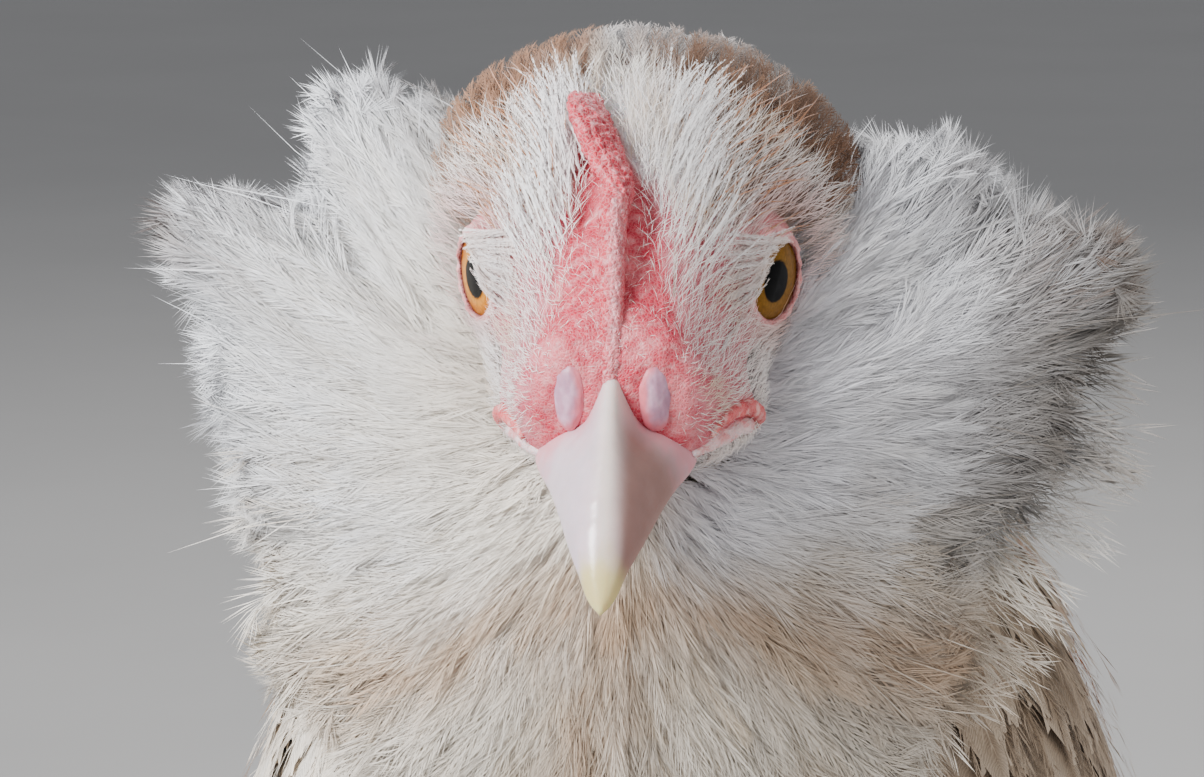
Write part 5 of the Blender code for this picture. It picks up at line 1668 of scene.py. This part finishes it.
def throat(step, angle, out):
    """The neck: leaning ovals up its rows, bent to her left; angle 0 is her left, 90 the back."""

    def at(step, a):
        y, z, depth, half, lean, bend = np.moveaxis(read(NECK, step), -1, 0)
        lean = np.radians(lean)
        back = depth * np.sin(a)
        return np.stack([bend + half * np.cos(a), y + back * np.cos(lean), z + back * np.sin(lean)], -1)

    return slope_of(at, step, angle, out, True)


# Thigh, from inside the body to the hock: row, y, z, half depth, half width
THIGH = [
    (0, 6, 172, 58, 41), (1, 4, 142, 58, 41), (2, 8, 116, 48, 36), (3, 15, 97, 29, 25), (4, 20, 87, 14, 13)
]

# Shank and foot pad, from the hock down: height, y, half depth, half width
SHANK = [
    (98, 20, 9, 8), (88, 19, 8.4, 7.4), (62, 13, 7, 6.6), (34, 6, 7, 6.8), (18, 2, 9.4, 9), (9, 0, 12.5, 12),
    (0, 0, 12, 11.5)
]

# Stump of the tail: distance along it, rise, drop, half width
STUMP = [(-34, 24, 28, 30), (-10, 28, 32, 32), (15, 27, 29, 27), (38, 20, 21, 18), (50, 11, 12, 9)]
TAIL_ROOT = np.array([0, 146, 250])
TAIL_SLOPE = math.radians(47)

# Folded wing under its feathers: y, height of its middle, half height, stand-off from the flank
WING = [(-76, 226, 8, 1), (-66, 226, 24, 7), (-35, 224, 36, 9), (10, 224, 35, 8), (50, 228, 28, 6),
        (85, 233, 16, 4), (100, 236, 4, 1.5)]


def thigh(side, step, angle, out):
    """A thigh: level ovals down its rows, their middle and size read from the table; angle 0 is her left,
    90 back."""

    def at(step, a):
        y, z, depth, half = np.moveaxis(read(THIGH, step), -1, 0)
        return np.stack([side * LEG_SPREAD + half * np.cos(a), y + LEG_BACK + depth * np.sin(a), z], -1)

    return slope_of(at, step, angle, out)


def stump(along, angle, out):
    """The tail's stump: ovals square to its slope; angle 0 is her left, 90 up."""
    c, s = math.cos(TAIL_SLOPE), math.sin(TAIL_SLOPE)

    def at(along, a):
        rise, drop, half = np.moveaxis(read(STUMP, along), -1, 0)
        high = np.where(np.sin(a) > 0, rise, drop) * np.sin(a)
        return TAIL_ROOT + np.stack([half * np.cos(a), along * c - high * s, along * s + high * c], -1)

    return slope_of(at, along, angle, out)


def flank(side, y, z, out):
    """The trunk's side by y and height, as wide there as its oval, moved out along its normal."""

    def at(y, z):
        middle, rise, drop, half = np.moveaxis(read(TORSO, y), -1, 0)
        share = (z - middle) / np.where(z > middle, rise, drop)
        return np.stack([side * half * np.sqrt(np.maximum(0.02, 1 - share**2)), y, z], -1)

    p, normal = slope_of(at, y, z, 0.0)
    normal = normal * side
    return p + normal * np.asarray(out, float)[..., None], normal


def folded_wing(side, y, share, out=0.0):
    """The wing's body over the flank: its stand-off fades to its upper and lower edges by the fourth
    power."""
    middle, half, lift = np.moveaxis(read(WING, y), -1, 0)
    return flank(side, y, middle + share * half, 0.32 * lift * (1 - np.abs(share) ** 4) + out)


def wing_marking(p, normal):
    """Colour of the wings: salmon brown, clouded by noise and darker where they face down, as painted shade.
    """
    # painted shade: darker where the wing faces down
    return mix(SALMON, WING_BROWN_AND_SHADE, ease(-0.5, 0.6, waves(p, 22, 104) - 0.2 * normal[..., 2]))


def body_marking(p, normal):
    """Colour of the body's plumage in her stance: cream in front and below, salmon brown over the neck's
    back, the back and the rump, blended on the sides, clouded by noise, and a dark fawn over her neck's left
    side from its middle up, partly fawn and partly painted shade."""
    y, z = p[..., 1], p[..., 2]
    cloud = waves(p, 60, 101)
    above = ease(-0.15, 0.5, normal[..., 2] + 0.12 * cloud)
    neck = ease(232, 262, z) * ease(-10, -30, y)
    above = np.where(neck > 0.5, ease(-0.25, 0.45, normal[..., 1] + 0.1 * cloud), above)
    above = above * ease(-100, -62, y)
    beside = np.maximum(ease(44, 58, np.abs(p[..., 0])), ease(-60, -40, y))
    shoulder = ease(216, 240, z + 5 * cloud) * ease(-96, -74, y) * beside * (neck < 0.5)
    above = np.maximum(above, 0.9 * shoulder)
    colour = mix(CREAM, BREAST_WHITE, ease(-0.5, 0.5, waves(p, 35, 102)))
    colour = mix(colour, BUFF, 0.5 * ease(0.0, 0.5, above) * ease(1.0, 0.5, above))
    # her neck's left side: partly fawn, partly painted shade
    colour = mix(colour, NECK_FAWN_PAINTED_SHADE, 0.9 * ease(16, 38, p[..., 0]) * ease(272, 304, z))
    salmon = mix(SALMON, SALMON_DARK, ease(-0.4, 0.6, waves(p, 25, 103)))
    return mix(colour, salmon, ease(0.3, 0.85, above))


def closed(points):
    """Faces of a grid closed round its columns, capped by fans round two more points."""
    rows, columns = points.shape[:2]
    flat = np.vstack([points.reshape(-1, 3), points[0].mean(axis=0), points[-1].mean(axis=0)])
    k = np.arange(columns)
    n = (k + 1) % columns
    first = np.stack([n, k, np.full(columns, rows * columns)], -1)
    last = np.stack([k, n, np.full(columns, rows * columns + 1)], -1) + [[(rows - 1) * columns] * 2 + [0]]
    return flat, grid_faces(rows, columns, True), np.vstack([first, last])


def join_skin(name, shells, voxel):
    """One skin from closed shells: joined, made one surface by a voxel remesh and read back as arrays."""
    points, quads, triangles, start = [], [], [], 0
    for grid in shells:
        flat, four, three = closed(grid)
        points.append(flat)
        quads.append(four + start)
        triangles.append(three + start)
        start += len(flat)
    blank = bpy.data.materials.new("blank")
    thing = put_mesh(name + "_shells", np.vstack(points), [np.vstack(quads), np.vstack(triangles)], blank)
    fuse = thing.modifiers.new("one surface", "REMESH")
    fuse.mode = "VOXEL"
    fuse.voxel_size = voxel * MM
    relax = thing.modifiers.new("even out", "SMOOTH")
    relax.factor = 0.5
    relax.iterations = 6
    mesh = bpy.data.meshes.new_from_object(thing.evaluated_get(bpy.context.evaluated_depsgraph_get()))
    co = np.empty(len(mesh.vertices) * 3, dtype=np.float32)
    no = np.empty(len(mesh.vertices) * 3, dtype=np.float32)
    mesh.vertices.foreach_get("co", co)
    mesh.vertices.foreach_get("normal", no)
    corners = np.empty(len(mesh.loops), dtype=np.int32)
    mesh.loops.foreach_get("vertex_index", corners)
    bpy.data.objects.remove(thing)
    bpy.data.meshes.remove(mesh)
    bpy.data.materials.remove(blank)
    return co.reshape(-1, 3) / MM, no.reshape(-1, 3), corners.reshape(-1, 4)


def body_skin(finish):
    """The skin under the body's plumage: trunk, neck, thighs and the tail's stump drawn in and joined,
    coloured as the plumage but darker, as painted shade.
    """
    angle = round_turn(72)[None]
    up = np.linspace(0.1, 6.9, 50)[:, None]
    neck_depth = read([(0, -8), (5, -7), (6, -4), (7, -1.5)], up)[..., 0]
    shells = [
        trunk(np.linspace(-121, 171, 60)[:, None], angle, -8.0)[0],
        throat(up, -angle, neck_depth)[0],
        stump(np.linspace(-30, 44, 20)[:, None], angle, -6.0)[0],
    ]
    for side in SIDES.values():
        shells.append(thigh(side, np.linspace(0.1, 3.9, 30)[:, None], angle, -6.0)[0])
    points, normals, faces = join_skin("body", shells, BODY_VOXEL)
    # painted shade: the plumage's colour darkened under the feathers
    colour = body_marking(points, normals) * 0.75
    points = points + normals * (0.6 * waves(points, 16, 105))[:, None]
    piece = put_mesh("body_skin", from_stance(points), [faces], finish, colour)
    wear(piece, "cream_feather", "torso", "neck", "thigh_left", "thigh_right")


def rows_of(start, end, row, count_at):
    """Staggered places: rows from start to end, in each as many places round as count_at says, every second
    row moved on by half a place."""
    firsts, seconds = [], []
    for number, a in enumerate(np.arange(start, end, row)):
        count = int(count_at(a))
        b = (np.arange(count) + 0.5 * (number % 2)) / count
        firsts.append(np.full(count, a))
        seconds.append(b)
    return np.concatenate(firsts), np.concatenate(seconds)


def in_neck(p):
    """Whether points of the stance lie inside the neck: their share of its ovals is under 0.86."""
    row = read([(z, y, depth, half, bend) for _, y, z, depth, half, _, bend in NECK], p[:, 2])
    off = ((p[:, 0] - row[:, 3]) / row[:, 2]) ** 2 + ((p[:, 1] - row[:, 0]) / row[:, 1]) ** 2
    return (off < 0.86**2) & (p[:, 2] > 222) & (p[:, 2] < 384)


def in_head(p):
    """Whether points of the stance lie in the part of the neck that the head covers."""
    return (p[:, 2] > 380) & (p[:, 1] < -84)


def in_wing(p):
    """Whether points of the stance lie on the flank under a folded wing."""
    middle, half, _ = np.moveaxis(read(WING, p[:, 1]), -1, 0)
    return (np.abs(p[:, 2] - middle) < 0.82 * half) & (np.abs(p[:, 1] - 8) < 78) & (np.abs(p[:, 0]) > 35)


def in_thigh(p):
    """Whether points of the stance lie inside a thigh: their share of its ovals is under 0.85."""
    inside = np.zeros(len(p), bool)
    for side in SIDES.values():
        row = read([(z, y, depth, half) for _, y, z, depth, half in THIGH], p[:, 2])
        aside, behind = p[:, 0] - side * LEG_SPREAD, p[:, 1] - row[:, 0] - LEG_BACK
        inside |= ((aside / row[:, 2]) ** 2 + (behind / row[:, 1]) ** 2 < 0.85**2) & (p[:, 2] < 150)
    return inside


def in_stance(*places):
    """Several arrays of points of the hen's own stance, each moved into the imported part's frame."""
    return [from_stance(p) for p in places]


def dress(coat, surface_of, a, b, step, turn, half, sink, lift, outline, patch, lace=0.35, drop=None, loose=0,
          fan=(50, 20), barb=0.2, marking=body_marking):
    """Feathers over a surface: from (a, b), sunk in it, along it by step and turn, lifted off it at the
    tip. They are closed, or loose with as many barbs as asked, and a share of their edges' colour is that
    of the lace."""
    keep = np.ones(len(a), bool)
    root, out = surface_of(a, b, -sink)
    if drop is not None:
        keep = ~drop(root)
    a, b, root, out = a[keep], b[keep], root[keep], out[keep]
    count = len(a)
    jitter = rng.normal(0, 1, (4, count))
    step = np.broadcast_to(step, keep.shape)[keep] * (1 + 0.08 * jitter[0])
    turn = np.broadcast_to(turn, keep.shape)[keep] + 0.03 * jitter[1]
    half = np.broadcast_to(half, keep.shape)[keep] * (1 + 0.07 * jitter[2])
    rise = lift * (1 + 0.3 * jitter[3]) + 0.7 * waves(root, 30, 111)
    bend, _ = surface_of(a + 0.5 * step, b + 0.5 * turn, 0.75 * rise)
    tip, face = surface_of(a + step, b + turn, rise)
    shade = marking(root, out) * rng.uniform(0.8, 1.04, count)[:, None]
    ends = marking(tip, face)
    edge = mix(ends, np.broadcast_to(LACE, ends.shape), np.full(count, lace))
    spot = patch(a, b)
    placed = in_stance(root, bend, tip)
    if loose:
        # painted shade: each loose feather's root colour darkened
        plumes(coat, *placed, out, half, shade * 0.92, edge, spot, loose, fan, 0.13, barb, 0.5)
    else:
        leaves(coat, *placed, out, half, outline, shade, edge, ends * 0.92, spot, 6, 3, 0.22, 6, 0)


def trunk_patch(y, angle):
    """Places on the coats' map for the trunk, its lower left quarter: the angle's share across, y up."""
    return np.stack([0.01 + 0.48 * (angle / (2 * math.pi) % 1), 0.01 + 0.48 * (y + 130) / 320], -1)


def neck_patch(step, angle):
    """Places on the coats' map for the neck, its lower right quarter: the angle's share across, the row
    up."""
    return np.stack([0.51 + 0.48 * (angle / (2 * math.pi) % 1), 0.01 + 0.48 * step / 5], -1)


def trunk_feathers(vane):
    """Contour feathers over the trunk in rows that run back and down, and over the breast, down it."""
    coat = Coat("trunk_feathers", vane, "cream_feather", ("torso",))
    span = TRUNK_ARC[-1, 0]
    half_at = lambda l: read(TORSO, np.interp(l, TRUNK_ARC[:, 0], TRUNK_ARC[:, 1]))[3]
    length, b = rows_of(2, span - 4, 6.5, lambda l: 5 + half_at(l) * 0.7)
    angle = 2 * math.pi * b
    step = read([(0, 16), (60, 20), (160, 27), (span, 24)], length)[:, 0]
    half = read([(0, 5), (60, 6.5), (160, 8.5), (span, 7)], length)[:, 0]
    turn = -0.1 * np.cos(angle) * ease(30, 90, length)
    dress(coat, trunk_by_length, length, angle, step, turn, half, 3.5, 2.2, ROUND,
          lambda l, c: trunk_patch(l - 130, c), 0.35,
          lambda p: in_neck(p) | in_thigh(p) | in_wing(p) | (p[:, 1] < -112))
    z, b = rows_of(160, 272, 6.2, lambda z: 17)
    x = (2 * b - 1) * 62
    front = np.hypot(x / 62, (z - 214) / 60) < 1
    x, z = x[front], z[front]
    dress(coat, breast, x, z, 0.09 * x, -17, 5.6, 3.2, 2.0, ROUND,
          lambda a, c: 0.5 + np.stack([a, c - 214], -1) / 320, 0.35, in_neck)
    coat.put()


def neck_feathers(vane, down):
    """Pointed hackles down the neck and over the shoulders, with loose down on its upper part."""
    coat = Coat("hackle", vane, "salmon_feather", ("neck",))
    s, b = rows_of(0.35, 6.9, 0.155, lambda s: 4 + read(NECK, s)[3] * 0.95)
    step = read([(0, -0.95), (4.5, -1.0), (7, -1.5)], s)[:, 0]
    half = read([(0, 4.9), (5, 4.0), (7, 2.6)], s)[:, 0]
    sink = read([(0, 3.0), (5, 3.0), (7, 1.5)], s)[:, 0]
    dress(coat, throat, s, 2 * math.pi * b, step, 0, half, sink, 2.0, POINTED, neck_patch, 0.5, in_head)
    coat.put()
    coat = Coat("neck_down", down, "salmon_feather", ("neck",), soft=True)
    s, b = rows_of(1.9, 6.95, 0.14, lambda s: 4 + read(NECK, s)[3] * 0.85)
    step = read([(0, -0.62), (5, -0.8), (7, -1.1)], s)[:, 0]
    half = read([(0, 5.0), (5, 4.2), (7, 2.6)], s)[:, 0]
    dress(coat, throat, s, 2 * math.pi * b, step, 0, half, 1.5, 3.0, POINTED, neck_patch, 0.3, in_head, 15,
          (30, 12), 0.11)
    coat.put()


def fluff(down):
    """Loose fluff on the belly and the thighs."""
    coat = Coat("belly_fluff", down, "white_down", ("torso",), soft=True)
    y, b = rows_of(-70, 164, 8, lambda y: 5 + read(TORSO, y)[3] * 0.27)
    angle = math.pi * (1.06 + 0.88 * b)
    dress(coat, trunk, y, angle, 24, 0, 9, 2, 5, ROUND, trunk_patch, 0.3, in_thigh, 15)
    coat.put()
    for label, side in SIDES.items():
        coat = Coat(f"thigh_fluff_{label}", down, "white_down", (f"thigh_{label}",), soft=True)
        s, b = rows_of(0.7, 3.75, 0.16, lambda s: read(THIGH, s)[3] * 0.72)
        half = read([(0, 8), (3, 6), (4, 4)], s)[:, 0]
        corner = np.array([0.25 * (side < 0), 0.5])
        over = lambda a, c, out: thigh(side, a, c, out)
        dress(coat, over, s, 2 * math.pi * b, 0.62, 0, half, 2.5, 2.5, ROUND,
              lambda a, c: trunk_patch(a * 30, c) * 0.5 + corner, 0.3, None, 12)
        coat.put()


# Wing tiers, from under to over: feathers, root (y, z) of the lowest, step to the next, tip of the lowest,
# step to the next, half width, stand-off from the flank, how far the roots are sunk
WING_TIERS = [
    (6, (25, 199), (2, 3), (126, 221), (5, 5), 8, 2.4, 2.5),
    (11, (-10, 196), (3.5, 4.7), (84, 201), (4.4, 4.7), 8.6, 5.4, 4),
    (11, (-46, 197), (4, 4.9), (14, 199), (4.2, 5.4), 8, 8.6, 5),
    (13, (-60, 200), (2.6, 4.4), (-16, 203), (3, 4.7), 7.4, 11, 7),
]


def wing_body(label, side, finish):
    """The smooth body under a wing's feathers: the folded wing's surface, closed by one 8 mm further in,
    coloured a darker salmon as painted shade.
    """
    y = np.linspace(-75, 99, 60)[:, None]
    share = np.concatenate([np.linspace(-1, 1, 30), np.linspace(0.8, -0.8, 6)])[None]
    outer, _ = folded_wing(side, y, share)
    inner, _ = folded_wing(side, y, share, -8.0)
    grid = np.where((np.arange(36) >= 30)[None, :, None], inner, outer)
    # painted shade: salmon darkened under the wing's feathers
    piece = surface(f"wing_body_{label}", from_stance(grid), finish, SALMON * 0.7, flip=side > 0)
    wear(piece, "salmon_feather", f"wing_{label}")


def wing_tier(coat, side, number):
    """One tier of a wing: feathers from root to tip over the flank, sagging by a square curve between
    them."""
    count, start, start_step, end, end_step, half, lift, sunk = WING_TIERS[number]
    k = np.arange(count)
    y0, z0 = start[0] + start_step[0] * k, start[1] + start_step[1] * k
    y1 = end[0] + end_step[0] * k + rng.normal(0, 1.0 + 0.7 * number, count)
    z1 = end[1] + end_step[1] * k + rng.normal(0, 0.3 + 0.2 * number, count)
    sag = lambda t: (y0 + (y1 - y0) * t, z0 + (z1 - z0) * t - 5 * t * (1 - t))
    root, _ = flank(side, *sag(0), lift - sunk)
    bend, out = flank(side, *sag(0.5), lift + 1.5 + 0.06 * k)
    tip, _ = flank(side, *sag(1), lift + 0.06 * k)
    out = unit(out + np.array([0, 0, 0.15]))
    dark = mix(QUILL_DARK, SALMON, np.full(count, 0.25 + 0.22 * number))
    lace = np.broadcast_to(QUILL_LACE, dark.shape)
    patch = trunk_patch(y0, 0.02 * k + side) * 0.4 + 0.55
    leaves(coat, *in_stance(root, bend, tip), out, half * rng.uniform(0.94, 1.06, count),
           QUILL if number < 2 else ROUND, dark * 0.8, lace, dark, patch, 16, 7, 0.16, 14, 0.4)


def wings(vane):
    """The folded wings: a smooth body on the flank and tiers of quills and coverts along it, dark in their
    hidden webs, laced paler, with small feathers in rows over the shoulder."""
    for label, side in SIDES.items():
        wing_body(label, side, vane)
        coat = Coat(f"wing_quills_{label}", vane, "salmon_feather", (f"wing_{label}",))
        for number in range(len(WING_TIERS)):
            wing_tier(coat, side, number)
        y, b = rows_of(-79, -36, 6.0, lambda y: 15)
        corner = np.array([0.55, 0.3])
        over = lambda a, c, out: folded_wing(side, a, c, out)
        dress(coat, over, y, -1.0 + 1.95 * b, 19, -0.05, 6.0, 1.0, 6.5, ROUND,
              lambda a, c: trunk_patch(a, c) * 0.4 + corner, 0.4, lambda p: p[:, 1] < -78,
              marking=wing_marking)
        coat.put()


# Layers of the tail's quills: the first quill, their length as a share, how far out they lie, barb tips of
# an edge
TAIL_LAYERS = [(0, 1.0, 0.0, 26), (1, 0.62, 1.7, 16), (3, 0.4, 3.2, 12)]


def tail_layer(coat, side, first, share, off, fringe):
    """One layer of a leaf of the tail: quills that fan up from the slope, each five degrees steeper than
    the one before, straight to halfway and then bent a little down."""
    k = np.arange(first, 7, 1 if share == 1 else 0.5)
    count = len(k)
    angle = np.radians(29 + 5.0 * k)
    back = np.stack([0 * k, np.cos(angle), np.sin(angle)], -1)
    up = np.stack([0 * k, -np.sin(angle), np.cos(angle)], -1)
    out = unit(np.array([side, 0, 0]) + up * 0.6)
    high = (-15 + 30 * k / 6)[:, None] * np.array([0, -math.sin(TAIL_SLOPE), math.cos(TAIL_SLOPE)])
    root = TAIL_ROOT + high + np.stack([side * (20 - 2.5 * k), 0 * k, 0 * k], -1)
    long = ((120 + 3 * k + rng.normal(0, 1.5, count)) * share)[:, None]
    bend = root + back * long * 0.5 + out * off
    tip = root + back * long - up * 0.055 * long * share + out * off
    dark = mix(RUSSET, TAIL_DARK, ease(-1, 1, waves(root, 12, 121)))
    lace = np.broadcast_to(TAIL_LACE, dark.shape)
    patch = np.stack([0.55 + 0.05 * k, 0 * k + 0.6 + 0.1 * share], -1)
    half = np.full(count, 14 * (0.5 + 0.5 * share))
    leaves(coat, *in_stance(root, bend, tip), out, half, QUILL, dark * 0.75, lace, dark, patch, 24, 9, 0.14,
           fringe, 0.8)


def tail(vane, down):
    """The tail: two leaves of seven quills that meet over the middle like a tent, coverts over their roots,
    rump feathers round the stump and fluff under it."""
    coat = Coat("tail_quills", vane, "salmon_feather", ("tail",))
    for side in SIDES.values():
        for layer in TAIL_LAYERS:
            tail_layer(coat, side, *layer)
    a, b = rows_of(-26, 44, 6, lambda a: 26)
    corner = np.array([0.6, 0.1])
    dress(coat, stump, a, 2 * math.pi * b, 22, 0, 7, 2, 2.5, ROUND,
          lambda a, c: trunk_patch(a, c) * 0.3 + corner)
    coat.put()
    coat = Coat("vent_fluff", down, "white_down", ("tail",), soft=True)
    a, b = rows_of(-34, 34, 5.5, lambda a: 14)
    dress(coat, stump, a, math.pi * (1.1 + 0.8 * b), 24, 0, 9, 2, 5, ROUND, trunk_patch, 0.3, None, 15)
    coat.put()


# Legs

# Toes: degrees turned inwards from straight ahead, length without claw, thickness, degrees that it rises
TOES = {
    1: (168, 19, 3.6, 0), 2: (37, 36, 4.2, 0), 3: (1, 50, 4.5, 0), 4: (-37, 40, 4.1, 0), 5: (142, 24, 3.2, 24)
}

# Feathers of the shank and the outer toe: height of the root, direction (0 ahead, 90 outwards), length,
# droop
FOOT_FEATHERS = [(76, 120, 15, 26), (66, 88, 16, 28), (52, 118, 18, 28), (40, 86, 20, 26), (26, 112, 24, 20),
                 (15, 84, 28, 10)]


def toe_axes(number, side):
    """Directions of a toe: along it by its turn and rise, level across it, and square to both upwards."""
    turn, rise = math.radians(TOES[number][0]), math.radians(TOES[number][3])
    level = np.array([-side * math.sin(turn), -math.cos(turn), 0]) * math.cos(rise)
    along = level + np.array([0, 0, math.sin(rise)])
    across = unit(np.cross([0, 0, 1.0], along))
    return along, across, np.cross(along, across)


def toe_grid(number, side):
    """A toe: ovals along it that swell at the joints and, on top, at each scute, and lie flat on the
    ground."""
    _, length, thick, rise = TOES[number]
    along, across, up = toe_axes(number, side)
    share, angle = np.meshgrid(np.linspace(0, 1, 130), round_turn(40), indexing="ij")
    knuckle = 1 + 0.07 * np.cos(6 * math.pi * share)
    size = thick * (1 - 0.22 * share) * knuckle
    scute = (share * length / 3.1) % 1
    size = size * (1 + 0.09 * (1 - scute) ** 0.5 * np.clip(np.sin(angle) + 0.3, 0, 1)) - 0.15
    waist = np.where((share < 0.25) & (number in (2, 3, 4)), 0.62 + 0.38 * ease(0.05, 0.25, share), 1)
    start = np.array([side * LEG_SPREAD, LEG_BACK, 13 if rise else thick])
    reach = 11 * 0.55 + (11 * 0.45 + length) * share
    drop = np.where(rise, 0, thick * (1 - 0.22 * share) * knuckle - thick)
    p = start + along * reach[..., None] + across * (np.cos(angle) * size * waist)[..., None]
    p = p + up * (np.sin(angle) * size)[..., None] + np.array([0, 0, 1.0]) * drop[..., None]
    p[..., 2] = np.maximum(p[..., 2], 0.15)
    return p


def leg_skin(label, side, finish):
    """A shank and its toes as one skin: ovals down the shank's table, raised at each plate in front, with
    the toes joined on, pale and redder towards the ground."""
    z, angle = np.meshgrid(np.linspace(97, 0.2, 200), round_turn(60), indexing="ij")
    y, depth, half = np.moveaxis(read(SHANK, z), -1, 0)
    plate = ((97 - z) / 5.4) % 1
    front = np.clip(-np.sin(angle) * 1.6, 0, 1)
    grow = 0.55 * (plate**0.6 - 0.4) * front * ease(8, 16, z) - 0.1
    across, back = (half + grow) * np.cos(angle), (depth + grow) * np.sin(angle)
    shank = np.stack([side * LEG_SPREAD + across, y + LEG_BACK + back, z], -1)
    shells = [shank] + [toe_grid(number, side)[:, ::-1] for number in TOES]
    points, _, faces = join_skin(f"leg_{label}", shells, LEG_VOXEL)
    pale = mix(LEG_PALE, LEG_PINK, ease(-0.4, 0.7, waves(points, 9, 131)))
    low = ease(20, 5, points[:, 2])
    pale = mix(pale, LEG_RED, 0.6 * low * ease(-0.5, 0.5, waves(points, 5, 132)))
    piece = put_mesh(f"leg_{label}", from_stance(points), [faces], finish, pale)
    wear(piece, "leg_scale", f"shank_{label}", *(f"toe_{label}_{number}" for number in TOES))


def claws(label, side, finish):
    """A claw on each toe: ovals that taper along it and curve down by the square of the share along."""
    for number, (_, length, thick, rise) in TOES.items():
        along, across, up = toe_axes(number, side)
        size = thick * 0.74
        share, angle = np.meshgrid(np.linspace(-0.12, 1, 30), round_turn(24), indexing="ij")
        base = np.array([side * LEG_SPREAD, LEG_BACK, 13 if rise else size * 1.1]) + along * (11.3 + length)
        width = size * np.clip(1 - share, 0, 1) ** 0.8 + 0.3
        fall = size * 0.75 * np.clip(share, 0, 1) ** 2
        high = np.where(np.sin(angle) > 0, 1, 0.8) * np.sin(angle) * width
        p = base + along * (13 * share)[..., None] + across * (np.cos(angle) * width * 0.7)[..., None]
        p = p + up * high[..., None] - np.array([0, 0, 1.0]) * fall[..., None]
        p[..., 2] = np.maximum(p[..., 2], 0.3)
        colour = mix(CLAW_PALE, CLAW_TIP, ease(0.2, 0.9, share))
        piece = surface(f"claw_{label}_{number}_horn", from_stance(p), finish, colour)
        wear(piece, "bill_horn", f"claw_{label}_{number}")


# How each round of foot feathers differs from the first: height, direction, length
FOOT_ROUNDS = [(0, 0, 0), (-5, 16, -2), (4, -18, -3), (-2, -9, -1), (3, 9, -4), (-7, -2, -2), (6, 22, -5)]


def foot_feathers(label, side, finish):
    """Feathers on the outer side of a shank: from its surface outwards by their length and down by their
    droop, kept clear of the ground."""
    coat = Coat(f"foot_feathers_{label}", finish, "cream_feather", (f"shank_{label}",))
    table = np.array(FOOT_FEATHERS, float)
    table = np.vstack([table + [*change, 0] for change in FOOT_ROUNDS])
    height, heading = table[:, 0], np.radians(table[:, 1])
    row = read(SHANK, height)
    level = np.stack([side * np.sin(heading), -np.cos(heading), 0 * heading], -1)
    middle = np.stack([0 * height + side * LEG_SPREAD, row[:, 0] + LEG_BACK, height], -1)
    start = middle + level * (row[:, 2] - 3)[:, None]
    reach = level * (table[:, 2] + 3)[:, None]
    tip = start + reach + np.array([0, 0, -1.0]) * table[:, 3][:, None]
    bend = start + 0.55 * reach + np.array([0, 0, -0.15]) * table[:, 3][:, None]
    tip[:, 2], bend[:, 2] = np.maximum(tip[:, 2], 2.0), np.maximum(bend[:, 2], 3.0)
    pale = np.broadcast_to(FOOT_CREAM, tip.shape)
    patch = np.stack([0.1 + 0 * height, 0.6 + height / 300], -1)
    out = unit(level * 0.4 + [0, 0, 1.0])
    # painted shade: each feather's root colour darkened
    leaves(coat, *in_stance(start, bend, tip), out, rng.uniform(2.6, 3.8, len(tip)), ROUND, pale * 0.82, pale,
           pale * 0.95, patch, 8, 3, 0.2, 9, 0)
    coat.put()


def legs(finish, horn, vane):
    """Both legs: skin, claws and feathers."""
    for label, side in SIDES.items():
        leg_skin(label, side, finish)
        claws(label, side, horn)
        foot_feathers(label, side, vane)


set_view()
set_light()
set_floor()
FACE_SKIN = skin_finish("face_skin", 0.4, 0.2, 0.18)
COMB_SKIN = skin_finish("comb_skin", 0.5, 0.35, 0.3)
NOSTRIL_SKIN = skin_finish("nostril_skin", 0.7, 0.03, 0.0, 0.42)
LEG_SCALE = skin_finish("leg_scale", 1.5, 0.35, 0.25, 0.42)
HORN = horn_finish()
EYE = eye_finish()
DOWN = down_finish()
VANE = vane_finish()
head_skin(FACE_SKIN)
for label, side in SIDES.items():
    eye(label, side, EYE)
    lids(label, side, FACE_SKIN)
bill(HORN)
nostrils(NOSTRIL_SKIN)
mouth_folds(FACE_SKIN)
comb(COMB_SKIN)
ruff_base(DOWN)
ruff(DOWN)
crown(DOWN)
face_bristles(DOWN)
body_skin(DOWN)
trunk_feathers(VANE)
neck_feathers(VANE, DOWN)
fluff(DOWN)
wings(VANE)
tail(VANE, DOWN)
legs(LEG_SCALE, HORN, VANE)
